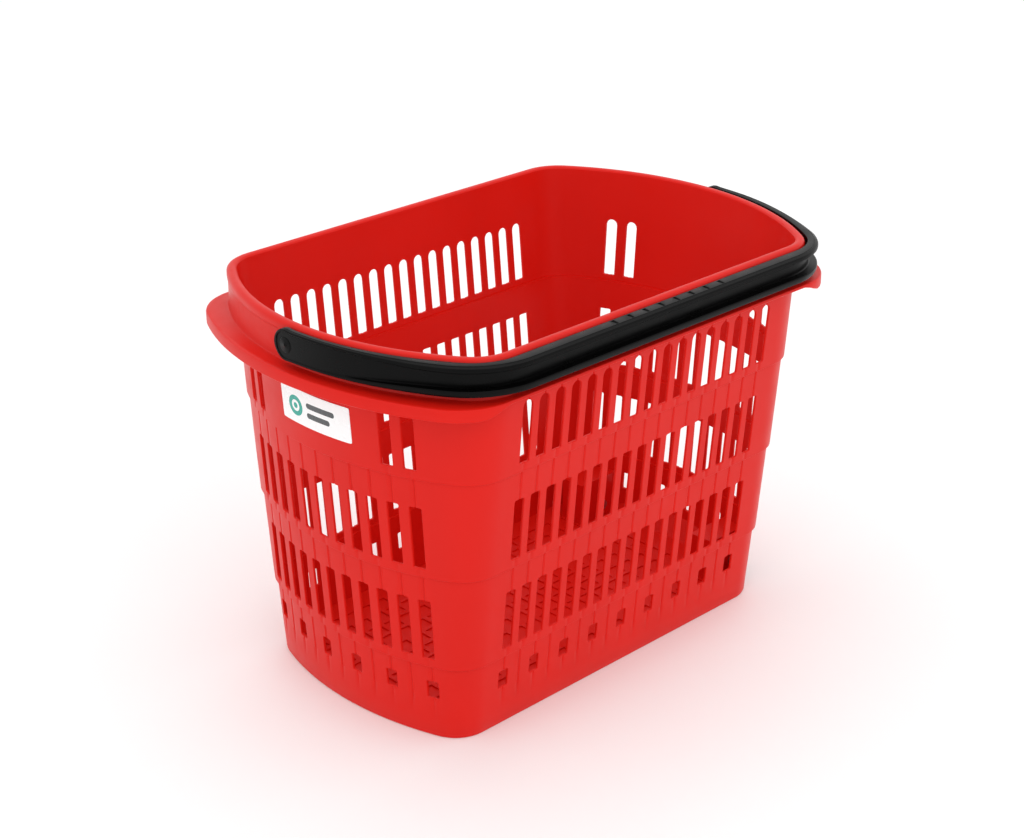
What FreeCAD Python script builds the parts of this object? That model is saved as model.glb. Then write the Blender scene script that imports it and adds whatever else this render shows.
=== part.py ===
"""Rolling shopping basket with a swinging carry bail and two transport wheels.

Frame: +Z up, X along the length of the basket, Y across its width. The origin is on the
floor, under the middle of the basket. The label is on the -X end, the wheels are at the
+X end, and the bail is stored parked along the -Y side of the collar. Millimetres.
"""
import FreeCAD, Part
import math
import os
from FreeCAD import Placement, Rotation, Vector

doc = FreeCAD.newDocument("RollingBasket")

# ---------------------------------------------------------------- driving dimensions
SIZES = [
    # alias, value in mm (or a count), meaning
    ("collar_height", 375.0, "floor to the top of the collar"),
    ("collar_half_length", 263.4, "centre to the middle of the collar's curved end"),
    ("collar_half_width", 170.6, "centre to the collar's straight side"),
    ("collar_end_radius", 262.0, "plan radius of the collar's curved end"),
    ("collar_corner_radius", 44.0, "plan radius of the collar's corner"),
    ("rim_width", 9.0, "width of the hollow rim along the top of the collar"),
    ("rim_round", 2.5, "rounding of the rim's outer edge"),
    ("brim_round", 1.5, "rounding of the flange's outer edge"),
    ("base_half_length", 222.7, "centre to the middle of the base's curved end"),
    ("base_half_width", 126.4, "centre to the base's straight side"),
    ("base_end_radius", 311.0, "plan radius of the base's curved end"),
    ("base_corner_radius", 34.0, "plan radius of the base's corner"),
    ("wall_end_inset", 9.4, "collar's outside to the wall's outside, at the curved end"),
    ("wall", 2.6, "moulded wall thickness"),
    ("tier_step", 2.2, "how far each tier stands out over the one below"),
    ("lower_tier_height", 91.0, "height of the lower tier, above the bottom band"),
    ("middle_tier_height", 94.0, "height of the middle tier"),
    ("top_tier_height", 81.5, "height of the top tier, up to the flange"),
    ("flange_below_top", 35.5, "top of the collar down to its flange"),
    ("flange_end_reach", 14.6, "collar's curved end to the flange's"),
    ("flange_side_reach", 8.2, "collar's straight side to the flange's"),
    ("flange_end_radius", 320.0, "plan radius of the flange's curved end"),
    ("flange_corner_radius", 56.0, "plan radius of the flange's corner"),
    ("flange_drop", 11.0, "depth of the skirt under the flange's ends"),
    ("skirt_gap_half", 190.0, "half the length of the long sides that has no skirt"),
    ("slot_width", 11.0, "width of an upright slot"),
    ("slot_margin_low", 8.5, "tier's lower step to the bottom of its slots"),
    ("slot_height", 58.0, "height of an upright slot"),
    ("side_slot_pitch", 19.0, "slot spacing on the long sides"),
    ("side_slot_count", 17, "slots in a row on a long side"),
    ("end_slot_pitch", 20.3, "slot spacing on the short ends"),
    ("end_slot_count", 11, "slots in a row on a short end"),
    ("label_slot_count", 2, "top-row slots on each side of the label"),
    ("drain_height", 17.0, "height of a small opening in the bottom band"),
    ("drain_low", 40.0, "bottom of the small openings"),
    ("floor_low", 10.0, "underside of the perforated floor"),
    ("floor_bar", 5.0, "width of a bar of the floor grid"),
    ("floor_pocket", 1.4, "depth of the pockets between the bars"),
    ("floor_columns", 21, "pockets along the grid, before those off its edge go"),
    ("floor_rows", 13, "pockets across the grid, before those off its edge go"),
    ("heel_length", 26.7, "base's curved end to where the sloping heel starts"),
    ("bail_gap", 2.2, "gap between the collar and the bail"),
    ("bail_arm", 6.8, "thickness of the bail's arms at the pivots"),
    ("bail_bar", 13.5, "width of the bail's long bar"),
    ("bail_end_radius", 300.0, "plan radius of the outside of the bail's arms"),
    ("bail_corner_radius", 75.0, "plan radius of the bail's outer corner"),
    ("bail_height", 27.0, "height of the bail when parked"),
    ("bail_eye_radius", 14.0, "radius of the bail's round ends"),
    ("bail_round", 2.0, "rounding of the bail's long edges"),
    ("bail_flange", 4.5, "thickness of the bail bar's upper and lower flanges"),
    ("bail_web", 5.0, "thickness of the web between those flanges"),
    ("notch_radius", 2.0, "radius of a finger notch on the bail bar"),
    ("notch_pitch", 19.2, "spacing of the finger notches"),
    ("notch_count", 8, "finger notches on the bail bar"),
    ("pivot_below_top", 15.0, "top of the collar down to the bail's pivot axis"),
    ("pin_radius", 4.0, "radius of a pivot pin's shank"),
    ("pin_head_radius", 7.0, "radius of a pivot pin's head"),
    ("pin_head", 1.6, "thickness of a pivot pin's head"),
    ("bush_radius", 6.0, "outside radius of a pivot bush"),
    ("running_gap", 0.05, "radial clearance of a shaft turning in a hole"),
    ("side_gap", 0.2, "clearance beside a turning piece"),
    ("clip_radius", 6.5, "radius of a spring clip on a pivot pin"),
    ("clip_thickness", 0.8, "thickness of a spring clip"),
    ("label_half_length", 43.0, "half the label's length"),
    ("label_height", 33.0, "label's height"),
    ("label_above_step", 20.0, "step below the top tier to the bottom of the label"),
    ("label_aside", 6.0, "middle of the end to the middle of the label"),
    ("label_thickness", 0.4, "thickness of the label"),
    ("label_glue", 0.05, "layer of glue between the wall and the label"),
    ("wheel_radius", 25.0, "outside radius of a wheel's tyre"),
    ("wheel_width", 18.0, "width of a tyre"),
    ("tyre_depth", 5.0, "radial thickness of a tyre"),
    ("tyre_round", 2.5, "rounding of a tyre's shoulders"),
    ("hub_inset", 1.0, "hub's face, inside the tyre's face"),
    ("hub_recess", 5.0, "depth of the ring recess in each face of a hub"),
    ("hub_rim", 3.0, "radial thickness of a hub's rim"),
    ("boss_radius", 8.0, "radius of a hub's boss"),
    ("wheel_bush_radius", 5.0, "outside radius of a wheel's bush"),
    ("axle_radius", 3.0, "radius of an axle"),
    ("axle_head", 1.6, "thickness of an axle's head"),
    ("axle_head_radius", 5.5, "radius of an axle's head"),
    ("wheel_from_end", 28.7, "base's curved end to the axles"),
    ("wheel_from_side", 38.4, "base's straight side to the middle of a wheel"),
    ("spacer_thickness", 1.2, "thickness of the washer beside a wheel"),
    ("spacer_radius", 7.5, "radius of the washer beside a wheel"),
    ("well_gap", 4.0, "clearance round a wheel in its well"),
    ("well_wall", 3.0, "thickness of a wheel well's walls"),
]

sheet = doc.addObject("Spreadsheet::Sheet", "Sizes")
for row, (alias, value, meaning) in enumerate(SIZES, start=1):
    sheet.set("A%d" % row, alias)
    sheet.set("B%d" % row, str(value))
    sheet.set("C%d" % row, meaning)
    sheet.setAlias("B%d" % row, alias)
doc.recompute()


def size(alias):
    """Value of a driving dimension."""
    return float(sheet.get(alias))


WALL = size("wall")
COLLAR_TOP = size("collar_height")
FLANGE_TOP = COLLAR_TOP - size("flange_below_top")
PIVOT_Z = COLLAR_TOP - size("pivot_below_top")
AXLE_X = size("base_half_length") - size("wheel_from_end")
AXLE_Y = size("base_half_width") - size("wheel_from_side")
AXLE_Z = size("wheel_radius")
HEEL_START = size("base_half_length") - size("heel_length")
OVERCUT = 1.0           # how far a cutter runs past what it cuts
BIG = 2.0 * size("collar_half_length")

node_objects = []


def node(obj, name):
    """Marks an object of the document as a sub-part, under the name of its file."""
    obj.Label = name
    node_objects.append(obj)
    return obj


def shape_node(name, shape):
    """A sub-part whose shape is made with Part's own functions."""
    obj = doc.addObject("Part::Feature", name)
    obj.Shape = shape
    obj.Placement = Placement()
    return node(obj, name)


def primitive(kind, name, place, **expressions):
    """A Part primitive whose sizes are expressions on the sheet's cells."""
    obj = doc.addObject(kind, name)
    obj.Placement = place
    for prop, expression in expressions.items():
        obj.setExpression(prop.replace("_", "."), expression)
    return obj


# ---------------------------------------------------------------- plan outlines
class Outline:
    """Oblong with straight long sides, bowed short ends and round corners."""

    def __init__(self, half_length, half_width, end_radius, corner_radius):
        self.half_length = half_length
        self.half_width = half_width
        self.end_radius = end_radius
        self.corner_radius = corner_radius

    def inset(self, distance):
        """The parallel outline, a distance further in (out where it is negative)."""
        return Outline(self.half_length - distance, self.half_width - distance,
                       self.end_radius - distance, self.corner_radius - distance)

    def end_x(self, y):
        """X of the bowed end at a distance y from the middle."""
        sagitta = self.end_radius - math.sqrt(self.end_radius ** 2 - y ** 2)
        return self.half_length - sagitta

    def corner(self):
        """Centre of a corner's arc, and the angle at which it meets the bowed end."""
        arc_centre = self.half_length - self.end_radius
        y = self.half_width - self.corner_radius
        reach = self.end_radius - self.corner_radius
        x = arc_centre + math.sqrt(reach ** 2 - y ** 2)
        return x, y, math.atan2(y, x - arc_centre)

    def wire(self, z):
        """Closed wire at height z: two straight sides, two bowed ends, four corners."""
        x, y, meet = self.corner()
        radius = self.corner_radius
        middle = (meet + math.pi / 2) / 2
        bow = (x + radius * math.cos(meet), y + radius * math.sin(meet))
        half_way = (x + radius * math.cos(middle), y + radius * math.sin(middle))

        def at(px, py):
            return Vector(px, py, z)

        edges = []
        for sx in (1, -1):
            sy = sx
            edges.append(Part.Arc(at(sx * bow[0], -sy * bow[1]), at(sx * self.half_length, 0),
                                  at(sx * bow[0], sy * bow[1])))
            edges.append(Part.Arc(at(sx * bow[0], sy * bow[1]),
                                  at(sx * half_way[0], sy * half_way[1]),
                                  at(sx * x, sy * self.half_width)))
            edges.append(Part.LineSegment(at(sx * x, sy * self.half_width),
                                          at(-sx * x, sy * self.half_width)))
            edges.append(Part.Arc(at(-sx * x, sy * self.half_width),
                                  at(-sx * half_way[0], sy * half_way[1]),
                                  at(-sx * bow[0], sy * bow[1])))
        return Part.Wire([edge.toShape() for edge in edges])

    def prism(self, low, high):
        """Upright solid on this outline."""
        return Part.Face(self.wire(low)).extrude(Vector(0, 0, high - low))


collar = Outline(size("collar_half_length"), size("collar_half_width"),
                 size("collar_end_radius"), size("collar_corner_radius"))
base = Outline(size("base_half_length"), size("base_half_width"),
               size("base_end_radius"), size("base_corner_radius"))
flange = Outline(collar.half_length + size("flange_end_reach"),
                 collar.half_width + size("flange_side_reach"),
                 size("flange_end_radius"), size("flange_corner_radius"))

STEP = size("tier_step")
TOP_STEP = FLANGE_TOP - size("top_tier_height")
MIDDLE_STEP = TOP_STEP - size("middle_tier_height")
BAND_STEP = MIDDLE_STEP - size("lower_tier_height")
STEP_HEIGHTS = [BAND_STEP, MIDDLE_STEP, TOP_STEP]
TIER_LOWS = [0.0] + STEP_HEIGHTS
TIER_HIGHS = STEP_HEIGHTS + [FLANGE_TOP]
WALL_TOP_LENGTH = collar.half_length - size("wall_end_inset")
WALL_TOP_WIDTH = collar.half_width - size("rim_width") + WALL
STEPS = len(STEP_HEIGHTS)


def wall_outline(z, steps):
    """Outside of the basket's wall at height z, above a number of tier steps."""
    rise = z / FLANGE_TOP
    spread_x = WALL_TOP_LENGTH - base.half_length - STEPS * STEP
    spread_y = WALL_TOP_WIDTH - base.half_width - STEPS * STEP
    end_radius = base.end_radius + (collar.end_radius - base.end_radius) * rise
    corner_radius = base.corner_radius + (collar.corner_radius - base.corner_radius) * rise
    return Outline(base.half_length + steps * STEP + spread_x * rise,
                   base.half_width + steps * STEP + spread_y * rise,
                   end_radius, corner_radius)


def tier_solid(steps, low, high, inset):
    """One tapered tier as a filled solid, inset from the wall's outside."""
    lower = wall_outline(low, steps).inset(inset).wire(low)
    upper = wall_outline(high, steps).inset(inset).wire(high)
    return Part.makeLoft([lower, upper], True, True)


def fuse_all(shapes):
    """One shape from several that touch or overlap."""
    return shapes[0].multiFuse(shapes[1:])


def box(low, high):
    """Box between two corners."""
    spans = [high[i] - low[i] for i in range(3)]
    return Part.makeBox(*spans, Vector(*low))


# ---------------------------------------------------------------- basket body
def heel_limit(offset):
    """Everything behind the sloping heel under the wheels, moved in by an offset."""
    start = HEEL_START - offset * math.sqrt(2)
    deep = 2 * OVERCUT
    corners = [(-BIG, -deep), (start - deep, -deep), (start + BIG, BIG), (-BIG, BIG)]
    wire = Part.makePolygon([Vector(x, -BIG, z) for x, z in corners + corners[:1]])
    return Part.Face(wire).extrude(Vector(0, 2 * BIG, 0))


def outer_tiers():
    """Outside of the wall, tier by tier."""
    highs = TIER_HIGHS[:-1] + [FLANGE_TOP - WALL / 2]
    tiers = [tier_solid(i, TIER_LOWS[i], highs[i], 0) for i in range(len(highs))]
    return fuse_all(tiers).common(heel_limit(0))


def inner_tiers():
    """Inside of the wall: each shelf between two tiers is one wall thick."""
    lows = [-OVERCUT] + [z + WALL for z in STEP_HEIGHTS]
    highs = lows[1:] + [FLANGE_TOP + OVERCUT]
    tiers = [tier_solid(i, lows[i], highs[i], WALL) for i in range(len(lows))]
    return fuse_all(tiers).common(heel_limit(WALL))


def collar_and_flange():
    """Hollow rim, flange and skirt, still filled where the goods go."""
    block = collar.prism(FLANGE_TOP - WALL, COLLAR_TOP)
    rim_edges = [e for e in block.Edges if abs(e.BoundBox.ZMin - COLLAR_TOP) < 0.01]
    block = block.makeFillet(size("rim_round"), rim_edges)
    skirt_low = FLANGE_TOP - size("flange_drop")
    brim = flange.prism(skirt_low, FLANGE_TOP)
    brim_edges = [e for e in brim.Edges if abs(e.BoundBox.ZMin - FLANGE_TOP) < 0.01]
    brim = brim.makeFillet(size("brim_round"), brim_edges)
    under = flange.inset(WALL).prism(skirt_low - OVERCUT, FLANGE_TOP - WALL)
    gap = size("skirt_gap_half")
    open_side = box((-gap, -BIG, skirt_low - OVERCUT), (gap, BIG, FLANGE_TOP - WALL))
    channel_out = collar.inset(WALL).prism(skirt_low - OVERCUT, COLLAR_TOP - WALL)
    channel_in = collar.inset(size("rim_width") - WALL).prism(skirt_low - 2 * OVERCUT, COLLAR_TOP)
    channel = channel_out.cut(channel_in)
    return block.fuse(brim.cut(under).cut(open_side)).cut(channel)


def slot_face(along, centre, low, high, width, rounded):
    """Outline of a slot, standing in the plane that the wall's long direction spans."""
    half = width / 2
    shoulder = high - half if rounded else high

    def at(offset, z):
        if along == "x":
            return Vector(centre + offset, -BIG / 2, z)
        return Vector(-BIG / 2, centre + offset, z)

    if rounded:
        top = Part.Arc(at(half, shoulder), at(0, high), at(-half, shoulder)).toShape()
    else:
        top = Part.LineSegment(at(half, shoulder), at(-half, shoulder)).toShape()
    sides = [Part.LineSegment(at(-half, shoulder), at(-half, low)).toShape(),
             Part.LineSegment(at(-half, low), at(half, low)).toShape(),
             Part.LineSegment(at(half, low), at(half, shoulder)).toShape()]
    return Part.Face(Part.Wire([top] + sides))


def across(along):
    """Cutting direction through both walls."""
    return Vector(0, BIG, 0) if along == "x" else Vector(BIG, 0, 0)


def row_positions(count, pitch):
    """Centres of a row of equally spaced slots, the middle of the row at zero."""
    return [(i - (count - 1) / 2) * pitch for i in range(count)]


def slot_rows():
    """Cutters of the upright slots: three rows on each side, with the label's gap."""
    side = row_positions(int(size("side_slot_count")), size("side_slot_pitch"))
    end = row_positions(int(size("end_slot_count")), size("end_slot_pitch"))
    beside = int(size("label_slot_count"))
    cutters = []
    for tier, tier_low in enumerate(STEP_HEIGHTS):
        low = tier_low + size("slot_margin_low")
        high = low + size("slot_height")
        is_top = tier == STEPS - 1
        end_row = end[:beside] + end[-beside:] if is_top else end
        for along, row in (("x", side), ("y", end_row)):
            for centre in row:
                face = slot_face(along, centre, low, high, size("slot_width"), is_top)
                cutters.append(face.extrude(across(along)))
    return cutters


def drain_openings():
    """Cutters of the small openings in the bottom band, at every second slot."""
    low = size("drain_low")
    high = low + size("drain_height")
    side = row_positions(int(size("side_slot_count")), size("side_slot_pitch"))[::2]
    end = row_positions(int(size("end_slot_count")), size("end_slot_pitch"))[::2]
    cutters = []
    for centre in side:
        face = slot_face("x", centre, low, high, size("slot_width"), False)
        cutters.append(face.extrude(across("x")))
    clear_of_well = AXLE_Y - WELL_HALF - size("well_wall") - size("slot_width")
    for centre in end:
        face = slot_face("y", centre, low, high, size("slot_width"), False)
        reach = BIG if abs(centre) < clear_of_well else BIG / 2
        cutters.append(face.extrude(Vector(reach, 0, 0)))
    return cutters


# a wheel's well: half its width, its height and where it starts, from the wheel's sizes
WELL_HALF = size("wheel_width") / 2 + size("spacer_thickness") + 2 * size("side_gap")
WELL_TOP = 2 * size("wheel_radius") + size("well_gap")
WELL_START = AXLE_X - size("wheel_radius") - size("well_gap")


def well_box(side, margin, low):
    """Box of a wheel's well, grown by a margin."""
    middle = side * AXLE_Y
    return box((WELL_START - margin, middle - WELL_HALF - margin, low),
               (BIG, middle + WELL_HALF + margin, WELL_TOP + margin))


def floor_grid():
    """Floor: a plate with a grid of square pockets, clear of the wall and the wheels."""
    low = size("floor_low")
    edge = wall_outline(low, 0).inset(WALL / 2)
    pitch = size("side_slot_pitch")
    pocket = pitch - size("floor_bar")
    rim = edge.inset(2 * WALL)
    corner_x, corner_y, _ = rim.corner()
    heel = HEEL_START - 2 * WALL
    top = low + WALL
    pockets = []
    for x in row_positions(int(size("floor_columns")), pitch):
        for y in row_positions(int(size("floor_rows")), pitch):
            far_x = abs(x) + pocket / 2
            far_y = abs(y) + pocket / 2
            if far_y > rim.half_width or far_x > rim.end_x(far_y) or x + pocket / 2 > heel:
                continue
            past_corner = math.hypot(far_x - corner_x, far_y - corner_y) > rim.corner_radius
            if far_x > corner_x and far_y > corner_y and past_corner:
                continue
            near_well = abs(abs(y) - AXLE_Y) < WELL_HALF + 2 * WALL + pocket / 2
            if near_well and x + pocket / 2 > WELL_START - 2 * WALL:
                continue
            pockets.append(box((x - pocket / 2, y - pocket / 2, top - size("floor_pocket")),
                               (x + pocket / 2, y + pocket / 2, top + OVERCUT)))
    plate = edge.prism(low, top).common(heel_limit(WALL / 2))
    return plate.cut(Part.makeCompound(pockets))


def basket_body():
    """The whole red moulding."""
    outside = outer_tiers()
    shell = collar_and_flange().fuse(outside)
    shell = shell.cut(collar.inset(size("rim_width")).prism(FLANGE_TOP, COLLAR_TOP + OVERCUT))
    shell = shell.cut(inner_tiers())
    housings = [well_box(side, size("well_wall"), 0).common(outside) for side in (-1, 1)]
    shell = shell.multiFuse([floor_grid()] + housings)
    wells = [well_box(side, 0, -OVERCUT) for side in (-1, 1)]
    pivot = Part.makeCylinder(size("pin_radius"), 2 * BIG, Vector(-BIG, 0, PIVOT_Z),
                              Vector(1, 0, 0))
    inner_wall = collar.inset(size("rim_width") - WALL).prism(FLANGE_TOP, COLLAR_TOP)
    axles = Part.makeCylinder(size("axle_radius"), 2 * BIG,
                              Vector(AXLE_X, -BIG, AXLE_Z), Vector(0, 1, 0))
    aside = AXLE_Y + WELL_HALF + size("well_wall") + OVERCUT
    axle_span = box((-BIG, -aside, -BIG), (BIG, aside, BIG))
    cutters = wells + slot_rows() + drain_openings()
    cutters += [pivot.cut(inner_wall), axles.common(axle_span)]
    return shell.cut(Part.makeCompound(cutters)).removeSplitter()


shape_node("basket_body", basket_body())

# ---------------------------------------------------------------- carry bail
BAIL_INSIDE = collar.inset(-size("bail_gap"))
BAIL_LOW = PIVOT_Z - size("bail_height") / 2
BAIL_HIGH = PIVOT_Z + size("bail_height") / 2
ARM_IN = BAIL_INSIDE.half_length
ARM_OUT = ARM_IN + size("bail_arm")


def bail_outside(inset):
    """Outside of the bail: arms that widen from the pivots to the corners, and a wide bar."""
    outside = Outline(ARM_OUT, BAIL_INSIDE.half_width + size("bail_bar"),
                      size("bail_end_radius"), size("bail_corner_radius"))
    return outside.inset(inset)


def bail_handle():
    """Bail that swings over the basket: two arms with round ends and a channelled bar."""
    ring = bail_outside(0).prism(BAIL_LOW, BAIL_HIGH)
    top_edges = [e for e in ring.Edges if e.BoundBox.ZLength < 0.01]
    ring = ring.makeFillet(size("bail_round"), top_edges)
    ring = ring.cut(BAIL_INSIDE.prism(BAIL_LOW - OVERCUT, BAIL_HIGH + OVERCUT))
    half = box((-BIG, -BIG, 0), (BIG, 0, COLLAR_TOP + BIG))
    solid = ring.common(half)
    for side in (-1, 1):
        centre = Vector(side * ARM_IN, 0, PIVOT_Z)
        eye = Part.makeCylinder(size("bail_eye_radius"), size("bail_arm"), centre,
                                Vector(side, 0, 0))
        solid = solid.fuse(eye)
    corner_x, _, _ = bail_outside(0).corner()
    recess_start = corner_x + size("bail_corner_radius") / 2
    recess = bail_outside(-OVERCUT).prism(BAIL_LOW + size("bail_flange"),
                                          BAIL_HIGH - size("bail_flange"))
    recess = recess.cut(BAIL_INSIDE.inset(-size("bail_web")).prism(0, COLLAR_TOP))
    recess = recess.common(box((-recess_start, -BIG, 0), (recess_start, -collar.half_width, BIG)))
    cutters = [recess]
    notch_y = -BAIL_INSIDE.half_width - size("notch_radius")
    for x in row_positions(int(size("notch_count")), size("notch_pitch")):
        cutters.append(Part.makeCylinder(size("notch_radius"), size("bail_bar") / 2,
                                         Vector(x, notch_y, BAIL_HIGH), Vector(0, -1, 0)))
    bores = []
    for side in (-1, 1):
        along = Vector(side, 0, 0)
        start = Vector(side * (ARM_IN - OVERCUT), 0, PIVOT_Z)
        bores.append(Part.makeCylinder(size("bush_radius"), 2 * size("bail_arm"), start, along))
        seat = Vector(side * (ARM_OUT - size("pin_head") - size("side_gap")), 0, PIVOT_Z)
        head_room = size("pin_head_radius") + 2 * size("side_gap")
        bores.append(Part.makeCylinder(head_room, size("bail_arm"), seat, along))
    return solid.cut(Part.makeCompound(cutters)).cut(Part.makeCompound(bores)).removeSplitter()


shape_node("bail_handle", bail_handle())

# ---------------------------------------------------------------- bail pivots
ENDS = {"front": -1, "rear": 1}


def ring_node(name, place, outer, inner, length):
    """A flat ring or a sleeve: a bored cylinder, sized by expressions."""
    rim = primitive("Part::Cylinder", name + "_rim", place, Radius=outer, Height=length)
    bore = primitive("Part::Cylinder", name + "_bore", place, Radius=inner, Height=length)
    cut = doc.addObject("Part::Cut", name + "_ring")
    cut.Base = rim
    cut.Tool = bore
    return node(cut, name)


def stepped_pin(name, place, head_radius, head_length, shank_radius, shank_length):
    """A round head with a shank behind it, sized by expressions."""
    head = primitive("Part::Cylinder", name + "_head", place,
                     Radius=head_radius, Height=head_length)
    shank = primitive("Part::Cylinder", name + "_shank", place,
                      Radius=shank_radius, Height=shank_length)
    fused = doc.addObject("Part::Fuse", name + "_fuse")
    fused.Base = head
    fused.Tool = shank
    return node(fused, name)


def end_place(side, x, inward):
    """On the pivot axis, local Z pointing out of the end or, if inward, into it."""
    turn = 90.0 * side * (-1 if inward else 1)
    return Placement(Vector(side * x, 0, PIVOT_Z), Rotation(Vector(0, 1, 0), turn))


CHANNEL_IN = collar.half_length - size("rim_width") + WALL
for end, side in ENDS.items():
    stepped_pin("pivot_pin_" + end, end_place(side, ARM_OUT, True),
                "Sizes.pin_head_radius", "Sizes.pin_head", "Sizes.pin_radius",
                "Sizes.bail_arm + Sizes.bail_gap + Sizes.wall + 2 * Sizes.clip_thickness")
    ring_node("pivot_bush_" + end, end_place(side, ARM_IN, False),
              "Sizes.bush_radius", "Sizes.pin_radius + Sizes.running_gap",
              "Sizes.bail_arm - Sizes.pin_head - Sizes.side_gap")
    ring_node("pivot_washer_" + end, end_place(side, collar.half_length, False),
              "Sizes.bush_radius + Sizes.tier_step", "Sizes.pin_radius",
              "Sizes.bail_gap - Sizes.side_gap")
    ring_node("pivot_clip_" + end,
              end_place(side, collar.half_length - WALL - size("side_gap"), True),
              "Sizes.clip_radius", "Sizes.pin_radius", "Sizes.clip_thickness")


# ---------------------------------------------------------------- label
def front_label():
    """Label that follows the bowed end of the top tier."""
    low = STEP_HEIGHTS[-1]
    glue = size("label_glue")
    skin = tier_solid(STEPS, low, FLANGE_TOP, -glue - size("label_thickness"))
    skin = skin.cut(tier_solid(STEPS, low - OVERCUT, FLANGE_TOP + OVERCUT, -glue))
    foot = low + size("label_above_step")
    near = -size("label_aside") - size("label_half_length")
    window = box((-BIG, near, foot),
                 (0, near + 2 * size("label_half_length"), foot + size("label_height")))
    return skin.common(window)


shape_node("front_label", front_label())

# ---------------------------------------------------------------- wheels
SIDES = {"left": 1, "right": -1}


def wheel_place(side, out_by):
    """On a wheel's axis, local Z pointing to the outside, moved out from the middle."""
    y = side * (AXLE_Y + out_by)
    return Placement(Vector(AXLE_X, y, AXLE_Z), Rotation(Vector(1, 0, 0), -90.0 * side))


def tyre(name, side):
    """Solid tyre with rounded shoulders."""
    place = wheel_place(side, -size("wheel_width") / 2)
    blank = primitive("Part::Cylinder", name + "_blank", place,
                      Radius="Sizes.wheel_radius", Height="Sizes.wheel_width")
    doc.recompute()
    rounded = doc.addObject("Part::Fillet", name + "_rounded")
    rounded.Base = blank
    circles = [i for i, e in enumerate(blank.Shape.Edges, start=1) if e.isClosed()]
    rounded.Edges = [(i, size("tyre_round"), size("tyre_round")) for i in circles]
    seat = primitive("Part::Cylinder", name + "_seat", place,
                     Radius="Sizes.wheel_radius - Sizes.tyre_depth",
                     Height="Sizes.wheel_width")
    cut = doc.addObject("Part::Cut", name + "_cut")
    cut.Base = rounded
    cut.Tool = seat
    return node(cut, name)


def hub(name, side):
    """Hub with a boss, a rim and a ring recess in each face, turned from one profile."""
    width = size("wheel_width") - 2 * size("hub_inset")
    rim_out = size("wheel_radius") - size("tyre_depth")
    rim_in = rim_out - size("hub_rim")
    boss = size("boss_radius")
    bore = size("wheel_bush_radius")
    deep = size("hub_recess")
    profile = [(bore, 0), (boss, 0), (boss, deep), (rim_in, deep), (rim_in, 0), (rim_out, 0),
               (rim_out, width), (rim_in, width), (rim_in, width - deep),
               (boss, width - deep), (boss, width), (bore, width)]
    body = doc.addObject("PartDesign::Body", name + "_body")
    sketch = body.newObject("Sketcher::SketchObject", name + "_profile")
    plane = [f for f in body.Origin.OriginFeatures if f.Role == "XZ_Plane"][0]
    sketch.AttachmentSupport = [(plane, "")]
    sketch.MapMode = "FlatFace"
    points = [Vector(x, y, 0) for x, y in profile]
    for start, end in zip(points, points[1:] + points[:1]):
        sketch.addGeometry(Part.LineSegment(start, end), False)
    turned = body.newObject("PartDesign::Revolution", name + "_turned")
    turned.Profile = sketch
    turned.ReferenceAxis = (sketch, ["V_Axis"])
    turned.Angle = 360.0
    body.Tip = turned
    body.Placement = wheel_place(side, -width / 2)
    return node(body, name)


for name, side in SIDES.items():
    tyre("tyre_" + name, side)
    hub("wheel_hub_" + name, side)
    hub_half = size("wheel_width") / 2 - size("hub_inset")
    ring_node("wheel_bush_" + name, wheel_place(side, -hub_half),
              "Sizes.wheel_bush_radius", "Sizes.axle_radius + Sizes.running_gap",
              "Sizes.wheel_width - 2 * Sizes.hub_inset")
    wall_face = WELL_HALF + size("well_wall")
    stepped_pin("axle_" + name, wheel_place(side, -wall_face - size("axle_head")),
                "Sizes.axle_head_radius", "Sizes.axle_head", "Sizes.axle_radius",
                "Sizes.wheel_width + 2 * Sizes.spacer_thickness + 4 * Sizes.side_gap"
                " + 2 * Sizes.well_wall + 3 * Sizes.axle_head")
    ring_node("axle_cap_" + name, wheel_place(side, wall_face),
              "Sizes.axle_head_radius", "Sizes.axle_radius", "Sizes.axle_head")
    ring_node("spacer_inner_" + name, wheel_place(side, -WELL_HALF + size("side_gap")),
              "Sizes.spacer_radius", "Sizes.axle_radius + Sizes.running_gap",
              "Sizes.spacer_thickness + Sizes.hub_inset - Sizes.side_gap")
    spacer_out = size("wheel_width") / 2 - size("hub_inset") + 2 * size("side_gap")
    ring_node("spacer_outer_" + name, wheel_place(side, spacer_out),
              "Sizes.spacer_radius", "Sizes.axle_radius + Sizes.running_gap",
              "Sizes.spacer_thickness + Sizes.hub_inset - Sizes.side_gap")

# ---------------------------------------------------------------- checks and files
doc.recompute()
for obj in doc.Objects:
    if {"Invalid", "Error"} & set(obj.State):
        raise RuntimeError("%s failed: %s" % (obj.Name, obj.State))
for obj in node_objects:
    if obj.Shape.isNull() or not obj.Shape.isValid():
        raise RuntimeError("%s has a bad shape" % obj.Label)

os.makedirs("parts", exist_ok=True)
for obj in node_objects:
    obj.Shape.exportStep(os.path.join("parts", obj.Label + ".step"))
    print("%-20s solids %d  volume %.0f" % (obj.Label, len(obj.Shape.Solids), obj.Shape.Volume))
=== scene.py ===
"""Rolling shopping basket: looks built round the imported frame. Metres, the part's own frame.

+Z up, X along the basket, Y across it. The label is on the -X end, the wheels are at the
+X end, and the carry bail is parked along the -Y side of the collar.
"""

import math

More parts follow.
